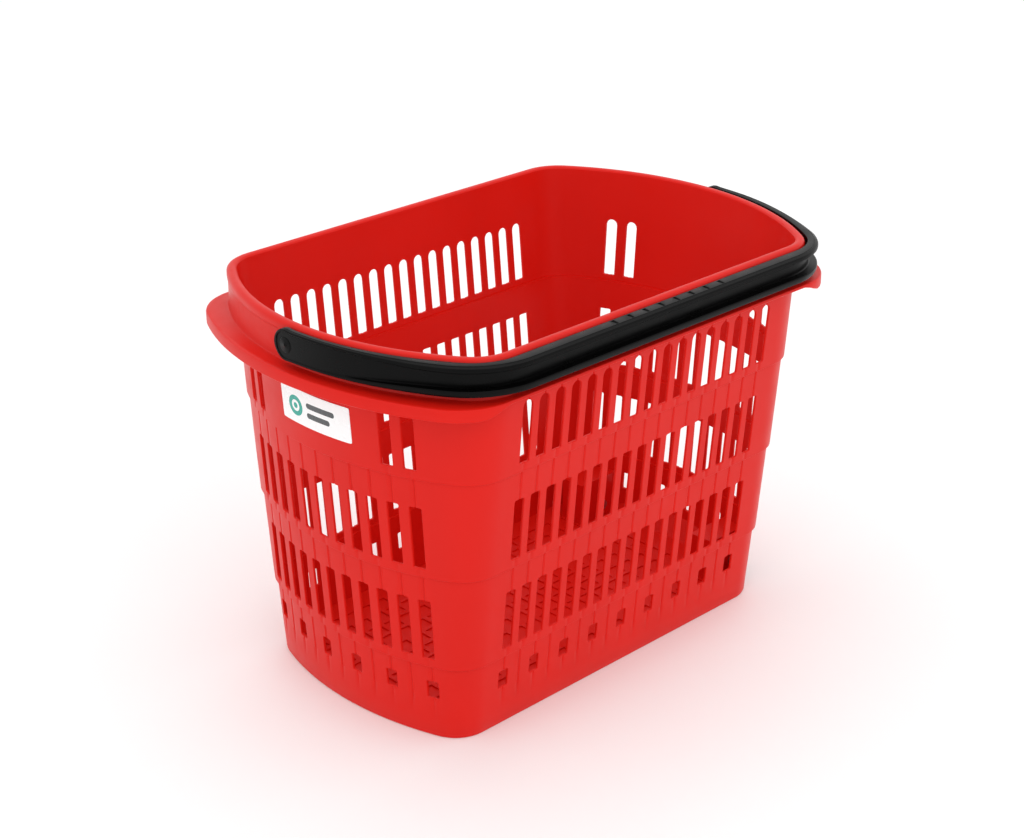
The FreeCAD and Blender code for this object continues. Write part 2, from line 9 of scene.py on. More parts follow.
import bmesh
import bpy
from bpy.props import FloatProperty, FloatVectorProperty, PointerProperty
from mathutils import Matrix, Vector


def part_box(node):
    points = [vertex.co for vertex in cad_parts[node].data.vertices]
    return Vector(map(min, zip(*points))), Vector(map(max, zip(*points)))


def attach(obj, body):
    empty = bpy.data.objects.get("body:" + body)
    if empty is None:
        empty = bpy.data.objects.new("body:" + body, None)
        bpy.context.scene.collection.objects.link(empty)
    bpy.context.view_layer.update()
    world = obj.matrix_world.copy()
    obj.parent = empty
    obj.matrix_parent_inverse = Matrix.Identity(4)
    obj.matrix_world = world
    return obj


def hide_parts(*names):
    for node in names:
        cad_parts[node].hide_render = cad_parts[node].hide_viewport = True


bl_info = {
    "name": "Rolling shopping basket",
    "version": (1, 0, 0),
    "blender": (4, 5, 0),
    "location": "View3D > Sidebar > Basket",
    "description": "Moulded basket with a swinging bail and two transport wheels",
    "category": "Add Mesh",
}

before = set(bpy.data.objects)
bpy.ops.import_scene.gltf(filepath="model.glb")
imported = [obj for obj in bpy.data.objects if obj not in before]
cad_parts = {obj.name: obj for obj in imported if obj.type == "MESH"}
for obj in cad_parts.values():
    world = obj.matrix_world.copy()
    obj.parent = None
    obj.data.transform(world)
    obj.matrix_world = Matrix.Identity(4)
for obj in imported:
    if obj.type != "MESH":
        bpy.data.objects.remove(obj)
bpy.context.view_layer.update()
MM = 0.001


def hex_colour(code):
    """Linear RGBA of an sRGB colour such as "c8102e"."""
    channels = [int(code[i:i + 2], 16) / 255 for i in (0, 2, 4)]
    linear = [c / 12.92 if c <= 0.04045 else ((c + 0.055) / 1.055) ** 2.4 for c in channels]
    return (*linear, 1.0)


# ---------------------------------------------------------------- sizes and colours
def length(name, description, default):
    """A length property whose default is given in millimetres."""
    return FloatProperty(name=name, description=description, default=default * MM,
                         unit="LENGTH", subtype="DISTANCE", precision=5)


def colour(name, description, code):
    """A colour property whose default is an sRGB hex code."""
    return FloatVectorProperty(name=name, description=description, default=hex_colour(code),
                               size=4, subtype="COLOR", min=0.0, max=1.0)


class BasketSizes(bpy.types.PropertyGroup):
    """Sizes that a user would change; the rest follow from the frame."""

    wall: length("Wall", "Moulded wall thickness", 2.6)
    tier_step: length("Tier step", "How far each tier stands out over the one below", 2.2)
    slot_width: length("Slot width", "Width of an upright slot", 11.0)
    slot_height: length("Slot height", "Height of an upright slot", 58.0)
    edge_round: length("Edge rounding", "Rounding of the slots' edges", 0.5)
    groove_depth: length("Groove depth", "Depth of the drip groove under a slot", 1.0)
    rim_width: length("Rim width", "Width of the rim along the collar's top", 9.0)
    bail_recess: length("Bail recess", "Depth of the channel in the bail's bar", 8.5)
    floor_bar: length("Floor bar", "Width of a bar of the floor grid", 5.0)


class BasketColours(bpy.types.PropertyGroup):
    """Colours of the mouldings and the label."""

    shell: colour("Shell", "Red moulding", "dc1a10")
    bail: colour("Bail", "Black moulding", "030303")
    tyre: colour("Tyre", "Soft tread", "1b1b1c")
    hub: colour("Hub", "Wheel hub", "3c3d40")
    natural: colour("Natural", "Undyed bushes and washers", "dcd8cc")
    label_ground: colour("Label ground", "Printed film", "fbfcfc")
    label_mark: colour("Label mark", "Printed roundel", "14a392")
    label_bars: colour("Label bars", "Printed bars", "4a4d4f")


def sizes():
    """The scene's sizes."""
    return bpy.context.scene.basket_sizes


def colours():
    """The scene's colours."""
    return bpy.context.scene.basket_colours


# ---------------------------------------------------------------- plan outlines
class Plan:
    """Oblong with straight long sides, bowed short ends and round corners."""

    def __init__(self, half_length, half_width, end_radius, corner_radius):
        self.half_length = half_length
        self.half_width = half_width
        self.end_radius = end_radius
        self.corner_radius = corner_radius
        self.bow_centre = half_length - end_radius
        self.corner_y = half_width - corner_radius
        reach = end_radius - corner_radius
        self.corner_x = self.bow_centre + math.sqrt(reach ** 2 - self.corner_y ** 2)
        self.meet = math.atan2(self.corner_y, self.corner_x - self.bow_centre)

    def inset(self, distance):
        """The parallel outline, a distance further in (out where it is negative)."""
        return Plan(self.half_length - distance, self.half_width - distance,
                    self.end_radius - distance, self.corner_radius - distance)

    def x_at(self, y):
        """X of the outline's +X end at a distance y from the middle."""
        if y > self.corner_y + self.corner_radius * math.sin(self.meet):
            return self.corner_x + math.sqrt(self.corner_radius ** 2 - (y - self.corner_y) ** 2)
        return self.bow_centre + math.sqrt(self.end_radius ** 2 - y ** 2)

    def y_at(self, x):
        """Y of the outline's +Y side at a distance x from the middle."""
        if x > self.corner_x:
            return self.corner_y + math.sqrt(self.corner_radius ** 2 - (x - self.corner_x) ** 2)
        return self.half_width

    def on_corner(self, share):
        """Point a share of the way round the corner, from the last end column to the side."""
        first = math.atan2(END_REACH - self.corner_y, self.x_at(END_REACH) - self.corner_x)
        last = math.atan2(self.corner_radius, SIDE_REACH - self.corner_x)
        if SIDE_REACH > self.corner_x:
            last = math.atan2(self.y_at(SIDE_REACH) - self.corner_y, SIDE_REACH - self.corner_x)
        angle = first + (last - first) * share
        cos, sin = math.cos(angle), math.sin(angle)
        far = self.corner_radius
        if angle > math.pi / 2:
            far = self.corner_radius / sin
        elif angle < self.meet:
            across = self.corner_x - self.bow_centre
            half_b = across * cos + self.corner_y * sin
            rest = across ** 2 + self.corner_y ** 2 - self.end_radius ** 2
            far = -half_b + math.sqrt(half_b ** 2 - rest)
        return self.corner_x + far * cos, self.corner_y + far * sin

    def at(self, spot):
        """Plan point of a column: ("end", s, side), ("side", s, side) or a corner."""
        if spot[0] == "end":
            return spot[2] * self.x_at(abs(spot[1])), spot[2] * spot[1]
        if spot[0] == "side":
            return -spot[2] * spot[1], spot[2] * self.y_at(abs(spot[1]))
        x, y = self.on_corner(spot[1])
        return spot[2] * x, spot[3] * y


COLLAR_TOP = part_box("basket_body")[1][2]
FLANGE_TOP = COLLAR_TOP - 35.5 * MM
COLLAR = Plan(263.4 * MM, 170.6 * MM, 262.0 * MM, 44.0 * MM)
BASE = Plan(222.7 * MM, 126.4 * MM, 311.0 * MM, 34.0 * MM)
FLANGE = Plan(278.0 * MM, 178.8 * MM, 320.0 * MM, 56.0 * MM)
STEP_HEIGHTS = [73.0 * MM, 164.0 * MM, 258.0 * MM]
WALL_TOP_LENGTH = COLLAR.half_length - 9.4 * MM
SLOT_MARGIN = 8.5 * MM
SIDE_PITCH, SIDE_COUNT = 19.0 * MM, 17
END_PITCH, END_COUNT = 20.3 * MM, 11
SIDE_REACH = SIDE_PITCH * SIDE_COUNT / 2
END_REACH = END_PITCH * END_COUNT / 2
LABEL_SLOTS = 2
CORNER_STEPS = 16
SKIRT_DROP = 11.0 * MM
DRAIN_LOW, DRAIN_HIGH = 40.0 * MM, 57.0 * MM
FLOOR_LOW = 10.0 * MM
FLOOR_POCKET = 1.4 * MM
FLOOR_COLUMNS, FLOOR_ROWS = 21, 13
HEEL_START = 196.0 * MM
WELL_WALL = 3.0 * MM
WELL_CLEAR, WELL_BESIDE = 4.0 * MM, 1.6 * MM   # round a wheel, and beside it


def wall_plan(z, steps):
    """Outside of the basket's wall at height z, above a number of tier steps."""
    rise = z / FLANGE_TOP
    step = sizes().tier_step
    top_width = COLLAR.half_width - sizes().rim_width + sizes().wall
    spread_x = WALL_TOP_LENGTH - BASE.half_length - len(STEP_HEIGHTS) * step
    spread_y = top_width - BASE.half_width - len(STEP_HEIGHTS) * step
    return Plan(BASE.half_length + steps * step + spread_x * rise,
                BASE.half_width + steps * step + spread_y * rise,
                BASE.end_radius + (COLLAR.end_radius - BASE.end_radius) * rise,
                BASE.corner_radius + (COLLAR.corner_radius - BASE.corner_radius) * rise)


# ---------------------------------------------------------------- mesh helpers
def mesh_object(name, faces):
    """Object from faces given by their corners' places; equal places become one vertex."""
    index = {}
    places = []
    polygons = []
    for face in faces:
        polygon = []
        for place in face:
            key = tuple(round(c, 6) for c in place)
            if key not in index:
                index[key] = len(places)
                places.append(place)
            if index[key] not in polygon:
                polygon.append(index[key])
        if len(polygon) > 2:
            polygons.append(polygon)
    mesh = bpy.data.meshes.new(name)
    mesh.from_pydata(places, [], polygons)
    mesh.validate()
    obj = bpy.data.objects.new(name, mesh)
    bpy.context.scene.collection.objects.link(obj)
    return obj


def strip(lower, upper):
    """Quads between two rows of places; a closed row repeats its first place."""
    return [(lower[i], lower[i + 1], upper[i + 1], upper[i]) for i in range(len(lower) - 1)]


def closed(row):
    """The row with its first place repeated at its end."""
    return row + row[:1]


def face_outwards(obj):
    """Turns every face of a closed mesh outwards."""
    shape = bmesh.new()
    shape.from_mesh(obj.data)
    bmesh.ops.recalc_face_normals(shape, faces=shape.faces)
    shape.to_mesh(obj.data)
    shape.free()
    return obj


def settle(obj):
    """Applies an object's modifiers, so that its mesh is plain."""
    graph = bpy.context.evaluated_depsgraph_get()
    mesh = bpy.data.meshes.new_from_object(obj.evaluated_get(graph))
    mesh.name = obj.name
    obj.modifiers.clear()
    obj.data = mesh
    return obj


def combine(obj, other, operation):
    """Exact boolean of two closed meshes; the second is used up."""
    modifier = obj.modifiers.new("combine", "BOOLEAN")
    modifier.operation = operation
    modifier.solver = "EXACT"
    modifier.object = other
    settle(obj)
    bpy.data.objects.remove(other)
    return obj


def copy_of(obj):
    """A second object with a mesh of its own."""
    twin = obj.copy()
    twin.data = obj.data.copy()
    bpy.context.scene.collection.objects.link(twin)
    return twin


def joined(name, parts):
    """One object from several meshes."""
    shape = bmesh.new()
    for part in parts:
        shape.from_mesh(part.data)
        bpy.data.objects.remove(part)
    mesh = bpy.data.meshes.new(name)
    shape.to_mesh(mesh)
    shape.free()
    obj = bpy.data.objects.new(name, mesh)
    bpy.context.scene.collection.objects.link(obj)
    return obj


def smooth(obj, angle=30):
    """Smooth shading, sharp where faces meet at more than an angle."""
    obj.data.shade_smooth()
    obj.data.set_sharp_from_angle(angle=math.radians(angle))
    return obj


def block(name, low, high):
    """Closed box between two corners."""
    x, y, z = zip(low, high)
    ring = [(0, 0), (1, 0), (1, 1), (0, 1), (0, 0)]
    lower = [(x[i], y[j], z[0]) for i, j in ring]
    upper = [(x[i], y[j], z[1]) for i, j in ring]
    return mesh_object(name, strip(lower, upper) + [lower[3::-1], upper[:4]])


def prism(name, section, low, high):
    """Closed prism on a section in XZ, between two Y positions."""
    near = closed([(x, low, z) for x, z in section])
    far = closed([(x, high, z) for x, z in section])
    return face_outwards(mesh_object(name, strip(near, far) + [near[:-1], far[:-1]]))


def turned(name, profile, centre, axis, segments=64):
    """Closed solid of revolution: a profile of (radius, distance along the axis)."""
    axis = Vector(axis)
    side = axis.orthogonal().normalized()
    up = axis.cross(side)
    rows = []
    for radius, along in profile:
        row = []
        for i in range(segments):
            angle = 2 * math.pi * i / segments
            offset = side * math.cos(angle) * radius + up * math.sin(angle) * radius
            row.append(tuple(Vector(centre) + axis * along + offset))
        rows.append(closed(row))
    faces = []
    for lower, upper in zip(rows, rows[1:] + rows[:1]):
        faces += strip(lower, upper)
    return face_outwards(mesh_object(name, faces))


# ---------------------------------------------------------------- geometry node trees
def node_in(tree, kind, settings=None, links=None):
    """Adds a node with its settings, and links its inputs to other nodes' outputs."""
    added = tree.nodes.new(kind)
    for key, value in (settings or {}).items():
        if isinstance(key, str) and hasattr(added, key):
            setattr(added, key, value)
        else:
            added.inputs[key].default_value = value
    for key, source in (links or {}).items():
        tree.links.new(source, added.inputs[key])
    return added


def repeat_tree(name):
    """Tree that puts a block on every vertex of its mesh, turned by the vertex's normal.

    Inputs: Size (the block), Material.
    """
    tree = bpy.data.node_groups.new(name, "GeometryNodeTree")
    tree.interface.new_socket("Geometry", in_out="INPUT", socket_type="NodeSocketGeometry")
    tree.interface.new_socket("Size", in_out="INPUT", socket_type="NodeSocketVector")
    tree.interface.new_socket("Material", in_out="INPUT", socket_type="NodeSocketMaterial")
    tree.interface.new_socket("Geometry", in_out="OUTPUT", socket_type="NodeSocketGeometry")
    start = node_in(tree, "NodeGroupInput")
    cube = node_in(tree, "GeometryNodeMeshCube", {}, {"Size": start.outputs["Size"]})
    turn = node_in(tree, "GeometryNodeInputNamedAttribute",
                   {"data_type": "FLOAT_VECTOR", "Name": "turn"})
    spread = node_in(tree, "GeometryNodeInstanceOnPoints", {},
                     {"Points": start.outputs["Geometry"], "Instance": cube.outputs["Mesh"],
                      "Rotation": turn.outputs["Attribute"]})
    real = node_in(tree, "GeometryNodeRealizeInstances", {},
                   {"Geometry": spread.outputs["Instances"]})
    painted = node_in(tree, "GeometryNodeSetMaterial", {},
                      {"Geometry": real.outputs["Geometry"],
                       "Material": start.outputs["Material"]})
    node_in(tree, "NodeGroupOutput", {}, {"Geometry": painted.outputs["Geometry"]})
    return tree


def repeated(name, places, turns, size, material):
    """Blocks of one size at several places, each turned by its own Euler angles."""
    mesh = bpy.data.meshes.new(name)
    mesh.from_pydata(places, [], [])
    attribute = mesh.attributes.new("turn", "FLOAT_VECTOR", "POINT")
    attribute.data.foreach_set("vector", [c for turn in turns for c in turn])
    obj = bpy.data.objects.new(name, mesh)
    bpy.context.scene.collection.objects.link(obj)
    tree = bpy.data.node_groups.get("repeat_block") or repeat_tree("repeat_block")
    modifier = obj.modifiers.new("repeat", "NODES")
    modifier.node_group = tree
    values = {"Size": size, "Material": material}
    for item in tree.interface.items_tree:
        if item.in_out == "INPUT" and item.name in values:
            modifier[item.identifier] = values[item.name]
    return settle(obj)


# ---------------------------------------------------------------- basket shell
HALF_BACK = 4.5 * MM        # half the flat part of a slot's lower edge
HALF_GROOVE = 1.5 * MM      # half the width of a drip groove
CORNER_ROUND = 1.0 * MM     # rounding of a slot's lower corners
SQUARE_ROUND = 1.4 * MM     # rounding of a square top's corners
STEP_RISE = 0.5 * MM        # bevel of the step under a tier
FOOT_BEVEL = [(1.6 * MM, 0.0), (0.5 * MM, 0.6 * MM)]   # base edge: (inset, height)
FOOT_TOP = 2.2 * MM         # top of the base edge's rounding
DRAIN_GROOVE_LOW = 20.0 * MM
BLIND_GROOVE = (24.0 * MM, 37.0 * MM)   # drip groove where there is no small opening
SKIRT_STARTS, SKIRT_FULL = 185.0 * MM, 215.0 * MM      # along X, where the skirt grows
RUNS = [("end", 1), ("side", 1), ("end", -1), ("side", -1)]
CORNERS = [(1, 1), (-1, 1), (-1, -1), (1, -1)]


def run_cells(kind):
    """Pitch and centres of the cells along an end or a side."""
    pitch, count = (END_PITCH, END_COUNT) if kind == "end" else (SIDE_PITCH, SIDE_COUNT)
    return pitch, [(i - (count - 1) / 2) * pitch for i in range(count)]


def ring_columns():
    """Columns of the shell, once round it: each is a spot and its cell, if it has one."""
    columns = []
    for run, (kind, side) in enumerate(RUNS):
        pitch, centres = run_cells(kind)
        for number, centre in enumerate(centres):
            for offset in (-pitch / 2, -HALF_BACK, -HALF_GROOVE, 0, HALF_GROOVE, HALF_BACK):
                columns.append(((kind, centre + offset, side), (run, number), abs(offset)))
        columns.append(((kind, centres[-1] + pitch / 2, side), None, pitch))
        for i in range(1, CORNER_STEPS):
            share = i / CORNER_STEPS
            if kind == "side":
                share = 1 - share
            columns.append((("corner", share, *CORNERS[run]), None, pitch))
    return columns


COLUMNS = ring_columns()


def has_slot(tier, cell):
    """Whether a cell has an opening in a tier."""
    if cell is None:
        return False
    run, number = cell
    kind, side = RUNS[run]
    if tier == 0:
        wells = kind == "end" and side == 1 and abs(number - (END_COUNT - 1) / 2) > 3
        return number % 2 == 0 and not wells
    if tier == len(STEP_HEIGHTS) and kind == "end":
        return min(number, END_COUNT - 1 - number) < LABEL_SLOTS
    return True


def groove_in(offset, z, groove):
    """How deep the drip groove is at an offset from its middle and a height."""
    if groove is None or offset > HALF_GROOVE / 2:
        return 0.0
    low, high = groove
    return sizes().groove_depth * max(0.0, min(1.0, (z - low) / (high - low)))


def ring_row(plan, z, tier=None):
    """One row of places round the shell; the outer face of a tier has its grooves."""
    row = []
    for spot, cell, offset in COLUMNS:
        deep = 0.0
        if tier is not None and cell is not None:
            deep = groove_in(offset, z, groove_span(tier, cell))
        x, y = (plan.inset(deep) if deep else plan).at(spot)
        row.append((x, y, z))
    return closed(row)


def groove_span(tier, cell):
    """Lowest and highest point of the groove in a cell."""
    if tier == 0:
        if has_slot(0, cell):
            return DRAIN_GROOVE_LOW, DRAIN_LOW
        return BLIND_GROOVE
    if has_slot(tier, cell):
        return STEP_HEIGHTS[tier - 1] + STEP_RISE, STEP_HEIGHTS[tier - 1] + SLOT_MARGIN
    return None


def slot_limits(tier):
    """Lowest and highest point of a tier's openings."""
    if tier == 0:
        return DRAIN_LOW, DRAIN_HIGH
    low = STEP_HEIGHTS[tier - 1] + SLOT_MARGIN
    return low, low + sizes().slot_height


def top_round(tier):
    """Rounding of the top of a tier's openings: only the top tier's are half round."""
    return sizes().slot_width / 2 if tier == len(STEP_HEIGHTS) else SQUARE_ROUND


def frame_levels(tier):
    """Heights of the rows beside a tier's openings."""
    low, high = slot_limits(tier)
    shoulder = high - top_round(tier)
    top = high + 2.5 * MM
    return [low - 2.0 * MM, low + CORNER_ROUND, (low + shoulder) / 2, shoulder,
            (shoulder + top) / 2, top]


def half_opening(tier, grow):
    """Right half of an opening's outline, bottom to top, as (offset, z)."""
    low, high = slot_limits(tier)
    half = sizes().slot_width / 2
    points = [(0, low - grow), (HALF_GROOVE, low - grow), (HALF_BACK, low - grow)]
    bend = CORNER_ROUND * (1 - math.sqrt(0.5)) - grow * math.sqrt(0.5)
    points += [(half - bend, low + bend), (half + grow, low + CORNER_ROUND),
               (half + grow, frame_levels(tier)[2])]
    radius = top_round(tier)
    arched = radius == half
    for angle in ((0, 25, 45, 62, 78, 90) if arched else (0, 25, 50, 90)):
        turn = math.radians(angle)
        points.append((half - radius + (radius + grow) * math.cos(turn),
                       high - radius + (radius + grow) * math.sin(turn)))
    if not arched:
        points += [(HALF_GROOVE, high + grow), (0, high + grow)]
    return points


def half_frame(tier, pitch):
    """Right half of the rectangle round an opening, point for point with its outline."""
    first, low, middle, shoulder, upper, top = frame_levels(tier)
    edge = pitch / 2
    return [(0, first), (HALF_GROOVE, first), (HALF_BACK, first), (edge, first), (edge, low),
            (edge, middle), (edge, shoulder), (edge, upper), (edge, top), (HALF_BACK, top),
            (HALF_GROOVE, top), (0, top)]


def both_halves(half):
    """Closed outline from its right half."""
    return closed(half + [(-u, z) for u, z in half[-2:0:-1]])


def slot_faces(tier, cell):
    """Faces round one opening: outside, rounded edges, sides and inside."""
    kind, side = RUNS[cell[0]]
    pitch, centres = run_cells(kind)
    centre = centres[cell[1]]
    wall, edge = sizes().wall, sizes().edge_round
    groove = groove_span(tier, cell)

    def places(outline, depth, grooved):
        ring = []
        for u, z in both_halves(outline):
            deep = depth + (groove_in(abs(u), z, groove) if grooved else 0.0)
            deep = min(deep, wall - edge)
            x, y = wall_plan(z, tier).inset(deep if depth < wall else wall).at(
                (kind, centre + u, side))
            ring.append((x, y, z))
        return ring

    rings = [places(half_frame(tier, pitch), 0, True), places(half_opening(tier, edge), 0, True),
             places(half_opening(tier, 0), edge, True),
             places(half_opening(tier, 0), wall - edge, False),
             places(half_opening(tier, edge), wall, False),
             places(half_frame(tier, pitch), wall, False)]
    faces = []
    for outer, inner in zip(rings, rings[1:]):
        faces += strip(outer, inner)
    return faces


def tier_strip(tier, levels, inside):
    """Faces of one tier between its levels, leaving out the cells that have openings."""
    rows = []
    for z in levels:
        plan = wall_plan(z, tier).inset(sizes().wall) if inside else wall_plan(z, tier)
        rows.append(ring_row(plan, z, None if inside else tier))
    bottom, top = frame_levels(tier)[0], frame_levels(tier)[-1]
    faces = []
    for i, (lower, upper) in enumerate(zip(rows, rows[1:])):
        beside = bottom - 1e-6 < levels[i] < top - 1e-6
        quads = strip(lower, upper)
        for quad, (spot, cell, offset) in zip(quads, COLUMNS):
            if not (beside and has_slot(tier, cell)):
                faces.append(quad)
    return faces, rows


def smooth_step(value, low, high):
    """0 below low, 1 above high, with soft ends."""
    share = max(0.0, min(1.0, (value - low) / (high - low)))
    return share * share * (3 - 2 * share)


def rim_rows(wall_top):
    """Rows of the flange, skirt and hollow rim, from the wall's outside over to its inside."""
    wall = sizes().wall
    rim = sizes().rim_width
    under = FLANGE_TOP - wall
    top = COLLAR_TOP
    bead = 0.8 * MM
    profile = [
        (COLLAR.inset(rim - wall), under, 0), (COLLAR.inset(rim - wall), top - wall, 0),
        (COLLAR.inset(wall), top - wall, 0), (COLLAR.inset(wall), under, 0),
        (FLANGE.inset(wall + 1 * MM), under, 0), (FLANGE.inset(wall), under - 1 * MM, 0.01),
        (FLANGE.inset(wall), under, 1), (FLANGE.inset(wall - 0.6 * MM), under - 0.6 * MM, 1),
        (FLANGE.inset(0.6 * MM), under - 0.6 * MM, 1), (FLANGE, under, 1),
        (FLANGE, FLANGE_TOP - 2.0 * MM, 0), (FLANGE.inset(0.6 * MM), FLANGE_TOP - 0.6 * MM, 0),
        (FLANGE.inset(2.0 * MM), FLANGE_TOP, 0), (FLANGE.inset(4.0 * MM), FLANGE_TOP, 0),
        (COLLAR.inset(bead - 3.0 * MM), FLANGE_TOP, 0),
        (COLLAR.inset(bead - 1.2 * MM), FLANGE_TOP + 0.5 * MM, 0),
        (COLLAR.inset(bead - 0.2 * MM), FLANGE_TOP + 2.5 * MM, 0),
        (COLLAR.inset(bead), top - 9.5 * MM, 0), (COLLAR.inset(bead * 0.6), top - 8.6 * MM, 0),
        (COLLAR, top - 8.0 * MM, 0), (COLLAR, top - 4.5 * MM, 0),
        (COLLAR.inset(0.5 * MM), top - 2.5 * MM, 0), (COLLAR.inset(1.5 * MM), top - 1.2 * MM, 0),
        (COLLAR.inset(3.0 * MM), top - 0.3 * MM, 0), (COLLAR.inset(4.4 * MM), top, 0),
        (COLLAR.inset(rim - 2.6 * MM), top - 0.1 * MM, 0),
        (COLLAR.inset(rim - 1.0 * MM), top - 0.7 * MM, 0),
        (COLLAR.inset(rim), top - 2.0 * MM, 0),
    ]
    rows = [wall_top]
    for plan, z, skirt in profile:
        row = []
        for spot, cell, offset in COLUMNS:
            x, y = plan.at(spot)
            drop = skirt * (SKIRT_DROP - wall) * smooth_step(abs(x), SKIRT_STARTS, SKIRT_FULL)
            row.append((x, y, z - drop))
        rows.append(closed(row))
    return rows


def wall_faces():
    """The whole tiered wall with its rim, as one closed skin."""
    wall, edge = sizes().wall, sizes().edge_round
    lows = [0.0] + STEP_HEIGHTS
    highs = STEP_HEIGHTS + [FLANGE_TOP - wall]
    faces = []
    last = None
    for tier, (low, high) in enumerate(zip(lows, highs)):
        beside = frame_levels(tier)
        first = [low + STEP_RISE]
        if tier == 0:
            first = [FOOT_TOP, DRAIN_GROOVE_LOW, *BLIND_GROOVE]
        levels = first + beside + [high]
        tier_quads, rows = tier_strip(tier, levels, False)
        bevel = [(edge, low)] if tier else FOOT_BEVEL
        bent = [ring_row(wall_plan(low, tier).inset(deep), z) for deep, z in bevel]
        if last is None:
            foot = bent[0]
            faces += strip(*bent)
        else:
            faces += strip(last, bent[0])
        start = bent[-1]
        faces += strip(start, rows[0]) + tier_quads
        last = rows[-1]
        for cell in dict.fromkeys(c for _, c, _ in COLUMNS if has_slot(tier, c)):
            faces += slot_faces(tier, cell)
    rim = rim_rows(last)
    for lower, upper in zip(rim, rim[1:]):
        faces += strip(lower, upper)
    last = rim[-1]
    for tier in reversed(range(len(lows))):
        low = lows[tier] + (wall if tier else 0)
        levels = [low] + frame_levels(tier)
        if tier < len(STEP_HEIGHTS):
            levels.append(highs[tier] + wall)
        tier_quads, rows = tier_strip(tier, levels, True)
        faces += [quad[::-1] for quad in strip(rows[-1], last)]
        faces += [quad[::-1] for quad in tier_quads]
        last = rows[0]
    faces += strip(last, foot)
    return faces


def wall_rows_solid(name, high, offset):
    """Filled lower end of the basket, up to a height, inset from the wall's outside."""
    rows = [ring_row(wall_plan(0, 0).inset(offset), -MM),
            ring_row(wall_plan(high, 0).inset(offset), high)]
    faces = strip(rows[0], rows[1]) + [rows[0][-2::-1], rows[1][:-1]]
    return face_outwards(mesh_object(name, faces))


def rear_heel(wells):
    """Sloping heel under the wheels and the housings of the two wheel wells."""
    wall = sizes().wall
    slope = wall * math.sqrt(2)
    reach = 90 * MM
    width = 200 * MM
    plate = prism("heel_plate", [(HEEL_START - slope, 0), (HEEL_START, 0),
                                 (HEEL_START + reach, reach),
                                 (HEEL_START + reach - slope, reach)], -width, width)
    behind = prism("heel_limit", [(HEEL_START - 2 * MM, -2 * MM), (HEEL_START + reach, -2 * MM),
                                  (HEEL_START + reach, reach)], -width, width)
    for well in wells:
        low, high = well
        grown = block("housing", (low[0] - WELL_WALL, low[1] - WELL_WALL, MM),
                      (high[0], high[1] + WELL_WALL, high[2] + WELL_WALL))
        combine(plate, grown, "UNION")
    combine(plate, wall_rows_solid("plug", 72 * MM, wall / 2), "INTERSECT")
    combine(plate, behind, "DIFFERENCE")
    return plate


def wheel_wells():
    """Low and high corner of each wheel's well, from the tyres' places."""
    wells = []
    for side in ("left", "right"):
        low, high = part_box("tyre_" + side)
        wells.append(((low[0] - WELL_CLEAR, low[1] - WELL_BESIDE, -2 * MM),
                      (300 * MM, high[1] + WELL_BESIDE, high[2] + WELL_CLEAR)))
    return wells


def floor_pockets(wells):
    """Places of the floor's pockets that are clear of the wall, the heel and the wells."""
    half = (SIDE_PITCH - sizes().floor_bar) / 2
    rim = wall_plan(FLOOR_LOW, 0).inset(2.5 * sizes().wall)
    margin = 2 * sizes().wall
    places = []
    for i in range(FLOOR_COLUMNS):
        for j in range(FLOOR_ROWS):
            x = (i - (FLOOR_COLUMNS - 1) / 2) * SIDE_PITCH
            y = (j - (FLOOR_ROWS - 1) / 2) * SIDE_PITCH
            far_x, far_y = abs(x) + half, abs(y) + half
            if far_y > rim.half_width or x + half > HEEL_START - margin:
                continue
            if far_x > rim.x_at(min(far_y, rim.half_width)):
                continue
            if any(low[0] - margin < x + half and low[1] - margin < y + half
                   and y - half < high[1] + margin for low, high in wells):
                continue
            places.append((x, y, FLOOR_LOW + sizes().wall))
    return places


def gridded_floor(wells, material):
    """Floor plate with a raised grid round its square pockets."""
    wall = sizes().wall
    plan = wall_plan(FLOOR_LOW, 0).inset(wall / 2)
    rows = [ring_row(plan, FLOOR_LOW), ring_row(plan, FLOOR_LOW + wall)]
    plate = face_outwards(mesh_object(
        "floor_plate", strip(rows[0], rows[1]) + [rows[0][-2::-1], rows[1][:-1]]))
    pocket = SIDE_PITCH - sizes().floor_bar
    places = floor_pockets(wells)
    pockets = repeated("floor_pockets", places, [(0, 0, 0)] * len(places),
                       (pocket, pocket, 2 * FLOOR_POCKET), material)
    return combine(plate, pockets, "DIFFERENCE")


def build_shell():
    """The whole red moulding as one mesh."""
    material = bpy.data.materials["polypropylene_moulded"]
    shell = face_outwards(mesh_object("wall_skin", wall_faces()))
    wells = wheel_wells()
    heel = rear_heel(wells)
    floor = gridded_floor(wells, material)
    reach = 200 * MM
    behind = prism("behind_heel", [(HEEL_START, -5 * MM), (HEEL_START + reach, -5 * MM),
                                   (HEEL_START + reach, reach), (HEEL_START, 0)],
                   -reach, reach)
    for low, high in wells:
        well = block("well", low, high)
        for target in (heel, floor):
            combine(target, copy_of(well), "DIFFERENCE")
        combine(shell, well, "DIFFERENCE")
    combine(floor, copy_of(behind), "DIFFERENCE")
    combine(shell, behind, "DIFFERENCE")
    basket = joined("basket_shell", [shell, heel, floor])
    basket.data.materials.append(material)
    return smooth(basket)


